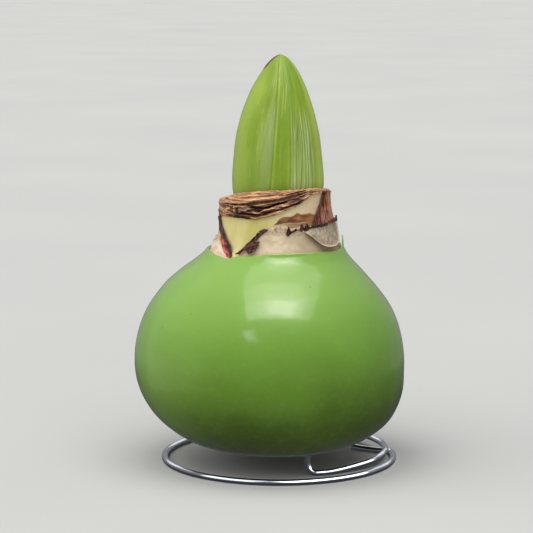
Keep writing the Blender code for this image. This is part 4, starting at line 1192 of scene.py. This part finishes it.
def make_stand():
    """One wire: down the leg, out, once and a little more round, and under its own start."""
    floor = WIRE_RADIUS - WIRE_FLAT
    heading = math.radians(LEG_HEADING)
    route = [(LEG_X, LEG_Y, z) for z in (LEG_TOP, 18.0, 11.0, floor + LEG_BEND)]
    for turn in np.linspace(7.5, 90.0, 12):
        out = LEG_BEND * (1 - math.cos(math.radians(turn)))
        down = LEG_BEND * math.sin(math.radians(turn))
        route.append((LEG_X + out * math.cos(heading), LEG_Y + out * math.sin(heading),
                      floor + LEG_BEND - down))

    def on_ring(azimuth, radius, height):
        turn = math.radians(azimuth)
        return (RING_X + radius * math.cos(turn), RING_Y + radius * math.sin(turn), height)

    run = [route[-1], *((x, y, floor + rise) for x, y, rise in LEG_RUN),
           *(on_ring(azimuth, radius, floor + rise) for azimuth, radius, rise in RISE_TO_TURN)]
    route += [tuple(point) for point in through(run, 6)[1:-1]]
    for azimuth in range(-6, 364, 3):
        share = float(ease((azimuth - RAISED_UNTIL) / (RING_FROM - RAISED_UNTIL)))
        radius = FIRST_TURN_RADIUS + (RING_RADIUS - FIRST_TURN_RADIUS) * share
        route.append(on_ring(azimuth, radius, floor + FIRST_TURN_RISE * (1 - share)))
    end = [route[-1], *((x, y, floor) for x, y in FREE_END)]
    route += [tuple(point) for point in through(end, 5)[1:]]

    wire = bpy.data.curves.new("wire", "CURVE")
    wire.dimensions = "3D"
    wire.bevel_depth = WIRE_RADIUS * MM
    wire.bevel_resolution = 7
    wire.use_fill_caps = True
    spline = wire.splines.new("POLY")
    spline.points.add(len(route) - 1)
    for point, place in zip(spline.points, route):
        point.co = (*(Vector(place) * MM), 1.0)
    guide = add_object("wire", wire)
    mesh = evaluated_mesh(guide)
    bpy.data.objects.remove(guide)
    for vertex in mesh.vertices:
        vertex.co.z = max(vertex.co.z, 0.0)
    points = np.array([vertex.co for vertex in mesh.vertices]) / MM
    faces = [list(face.vertices) for face in mesh.polygons]
    add_piece("bent_wire", points, faces, steel_finish(), ["wire_stand"])


def all_but_wire():
    """All the pieces but the wire and the floor."""
    return [bpy.data.objects[mesh.name] for mesh in bpy.data.meshes
            if mesh.name in bpy.data.objects and mesh.name not in ("bent_wire", "floor")]


def mirrored_light(name, width, depth, radiance, colour, only):
    """A panel of light that glossy pieces of one collection mirror; its sides are in metres."""
    light = bpy.data.lights.new(name, "AREA")
    light.shape = "RECTANGLE"
    light.size = width
    light.size_y = depth
    light.energy = radiance * math.pi * width * depth
    light.color = colour
    lamp = add_object(name, light)
    lamp.visible_camera = False
    lamp.visible_diffuse = False
    lamp.light_linking.receiver_collection = only
    return lamp


def window_pane(name, along_x, along_y, height, radiance, only):
    """A level panel that faces down, as one pane of the window."""
    lamp = mirrored_light(name, along_x[1] - along_x[0], along_y[1] - along_y[0], radiance,
                          WINDOW_COLOUR, only)
    lamp.location = (sum(along_x) / 2, sum(along_y) / 2, height)


def bright_sky(name, azimuth, elevation, width, height, radiance, only):
    """A bright patch of sky, in degrees seen from the object."""
    size = [2 * SKY_DISTANCE * math.tan(math.radians(angle / 2)) for angle in (width, height)]
    lamp = mirrored_light(name, *size, radiance, SKY_COLOUR, only)
    cosine, sine = turn_of(azimuth)
    level, rise = turn_of(elevation)
    way = Vector((cosine * level, sine * level, rise))
    lamp.location = way * SKY_DISTANCE
    lamp.rotation_euler = way.to_track_quat("Z", "Y").to_euler()


def soft_sun(name, way, strength, spread):
    """Even light from a wide patch of sky, which nothing glossy mirrors."""
    light = bpy.data.lights.new(name, "SUN")
    light.energy = strength
    light.angle = math.radians(spread)
    lamp = add_object(name, light)
    lamp.rotation_euler = Vector(way).to_track_quat("-Z", "Y").to_euler()
    lamp.visible_glossy = False


def make_floor():
    shape = bmesh.new()
    bmesh.ops.create_grid(shape, x_segments=8, y_segments=8, size=FLOOR_SIZE)
    mesh = bpy.data.meshes.new("floor")
    shape.to_mesh(mesh)
    shape.free()
    mesh.materials.append(floor_finish().material)
    floor = add_object("floor", mesh)
    floor.location.z = -FLOOR_BELOW
    floor.visible_glossy = False


def make_world():
    """Soft light all round, darker from below the horizon."""
    world = bpy.data.worlds.new("studio")
    bpy.context.scene.world = world
    world.use_nodes = True
    nodes, links = world.node_tree.nodes, world.node_tree.links
    place, height, rise, ramp = (nodes.new("ShaderNode" + kind) for kind in
                                 ("TexCoord", "SeparateXYZ", "MapRange", "ValToRGB"))
    rise.inputs["From Min"].default_value = -1.0
    elements = ramp.color_ramp.elements
    elements.new(0.5)
    for element, stop, colour in zip(elements, (0.39, 0.43, 0.85), (TABLE_IN_WAX, HORIZON, SKY)):
        element.position = stop
        element.color = (*colour, 1.0)
    backdrop = nodes["Background"]
    links.new(place.outputs["Generated"], height.inputs[0])
    links.new(height.outputs[2], rise.inputs["Value"])
    links.new(rise.outputs["Result"], ramp.inputs[0])
    links.new(ramp.outputs[0], backdrop.inputs["Color"])
    backdrop.inputs["Strength"].default_value = WORLD_STRENGTH


def make_lights():
    """Even light for all, the window that the wax mirrors, and the sky that the wire mirrors."""
    bent_wire = bpy.data.objects["bent_wire"]
    bent_wire.visible_glossy = False
    wire, waxed = (bpy.data.collections.new(name) for name in ("wire", "waxed"))
    wire.objects.link(bent_wire)
    for piece in all_but_wire():
        waxed.objects.link(piece)
    for pane in WINDOW:
        window_pane(*pane, waxed)
    for patches, only in ((SKY_FOR_WAX, waxed), (SKY_FOR_WIRE, wire)):
        for patch in patches:
            bright_sky(*patch, only)
    for sun in SUNS:
        soft_sun(*sun)


def make_camera():
    lens = bpy.data.cameras.new("camera")
    lens.sensor_width = SENSOR_WIDTH
    lens.lens = SENSOR_WIDTH * FOCAL_PIXELS / FRAME_PIXELS
    camera = add_object("camera", lens)
    camera.location = Vector(CAMERA_PLACE) * MM
    camera.rotation_euler = (math.radians(90 - CAMERA_PITCH), 0, 0)
    bpy.context.scene.camera = camera
    bpy.context.scene.view_settings.view_transform = "Standard"


make_stand()
make_wax()
make_bulb()
make_skins()
make_collar()
make_bud()
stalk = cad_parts["flower_stalk"]
stalk.data.materials.clear()
stalk.data.materials.append(stalk_finish().material)
make_floor()
make_world()
make_lights()
make_camera()
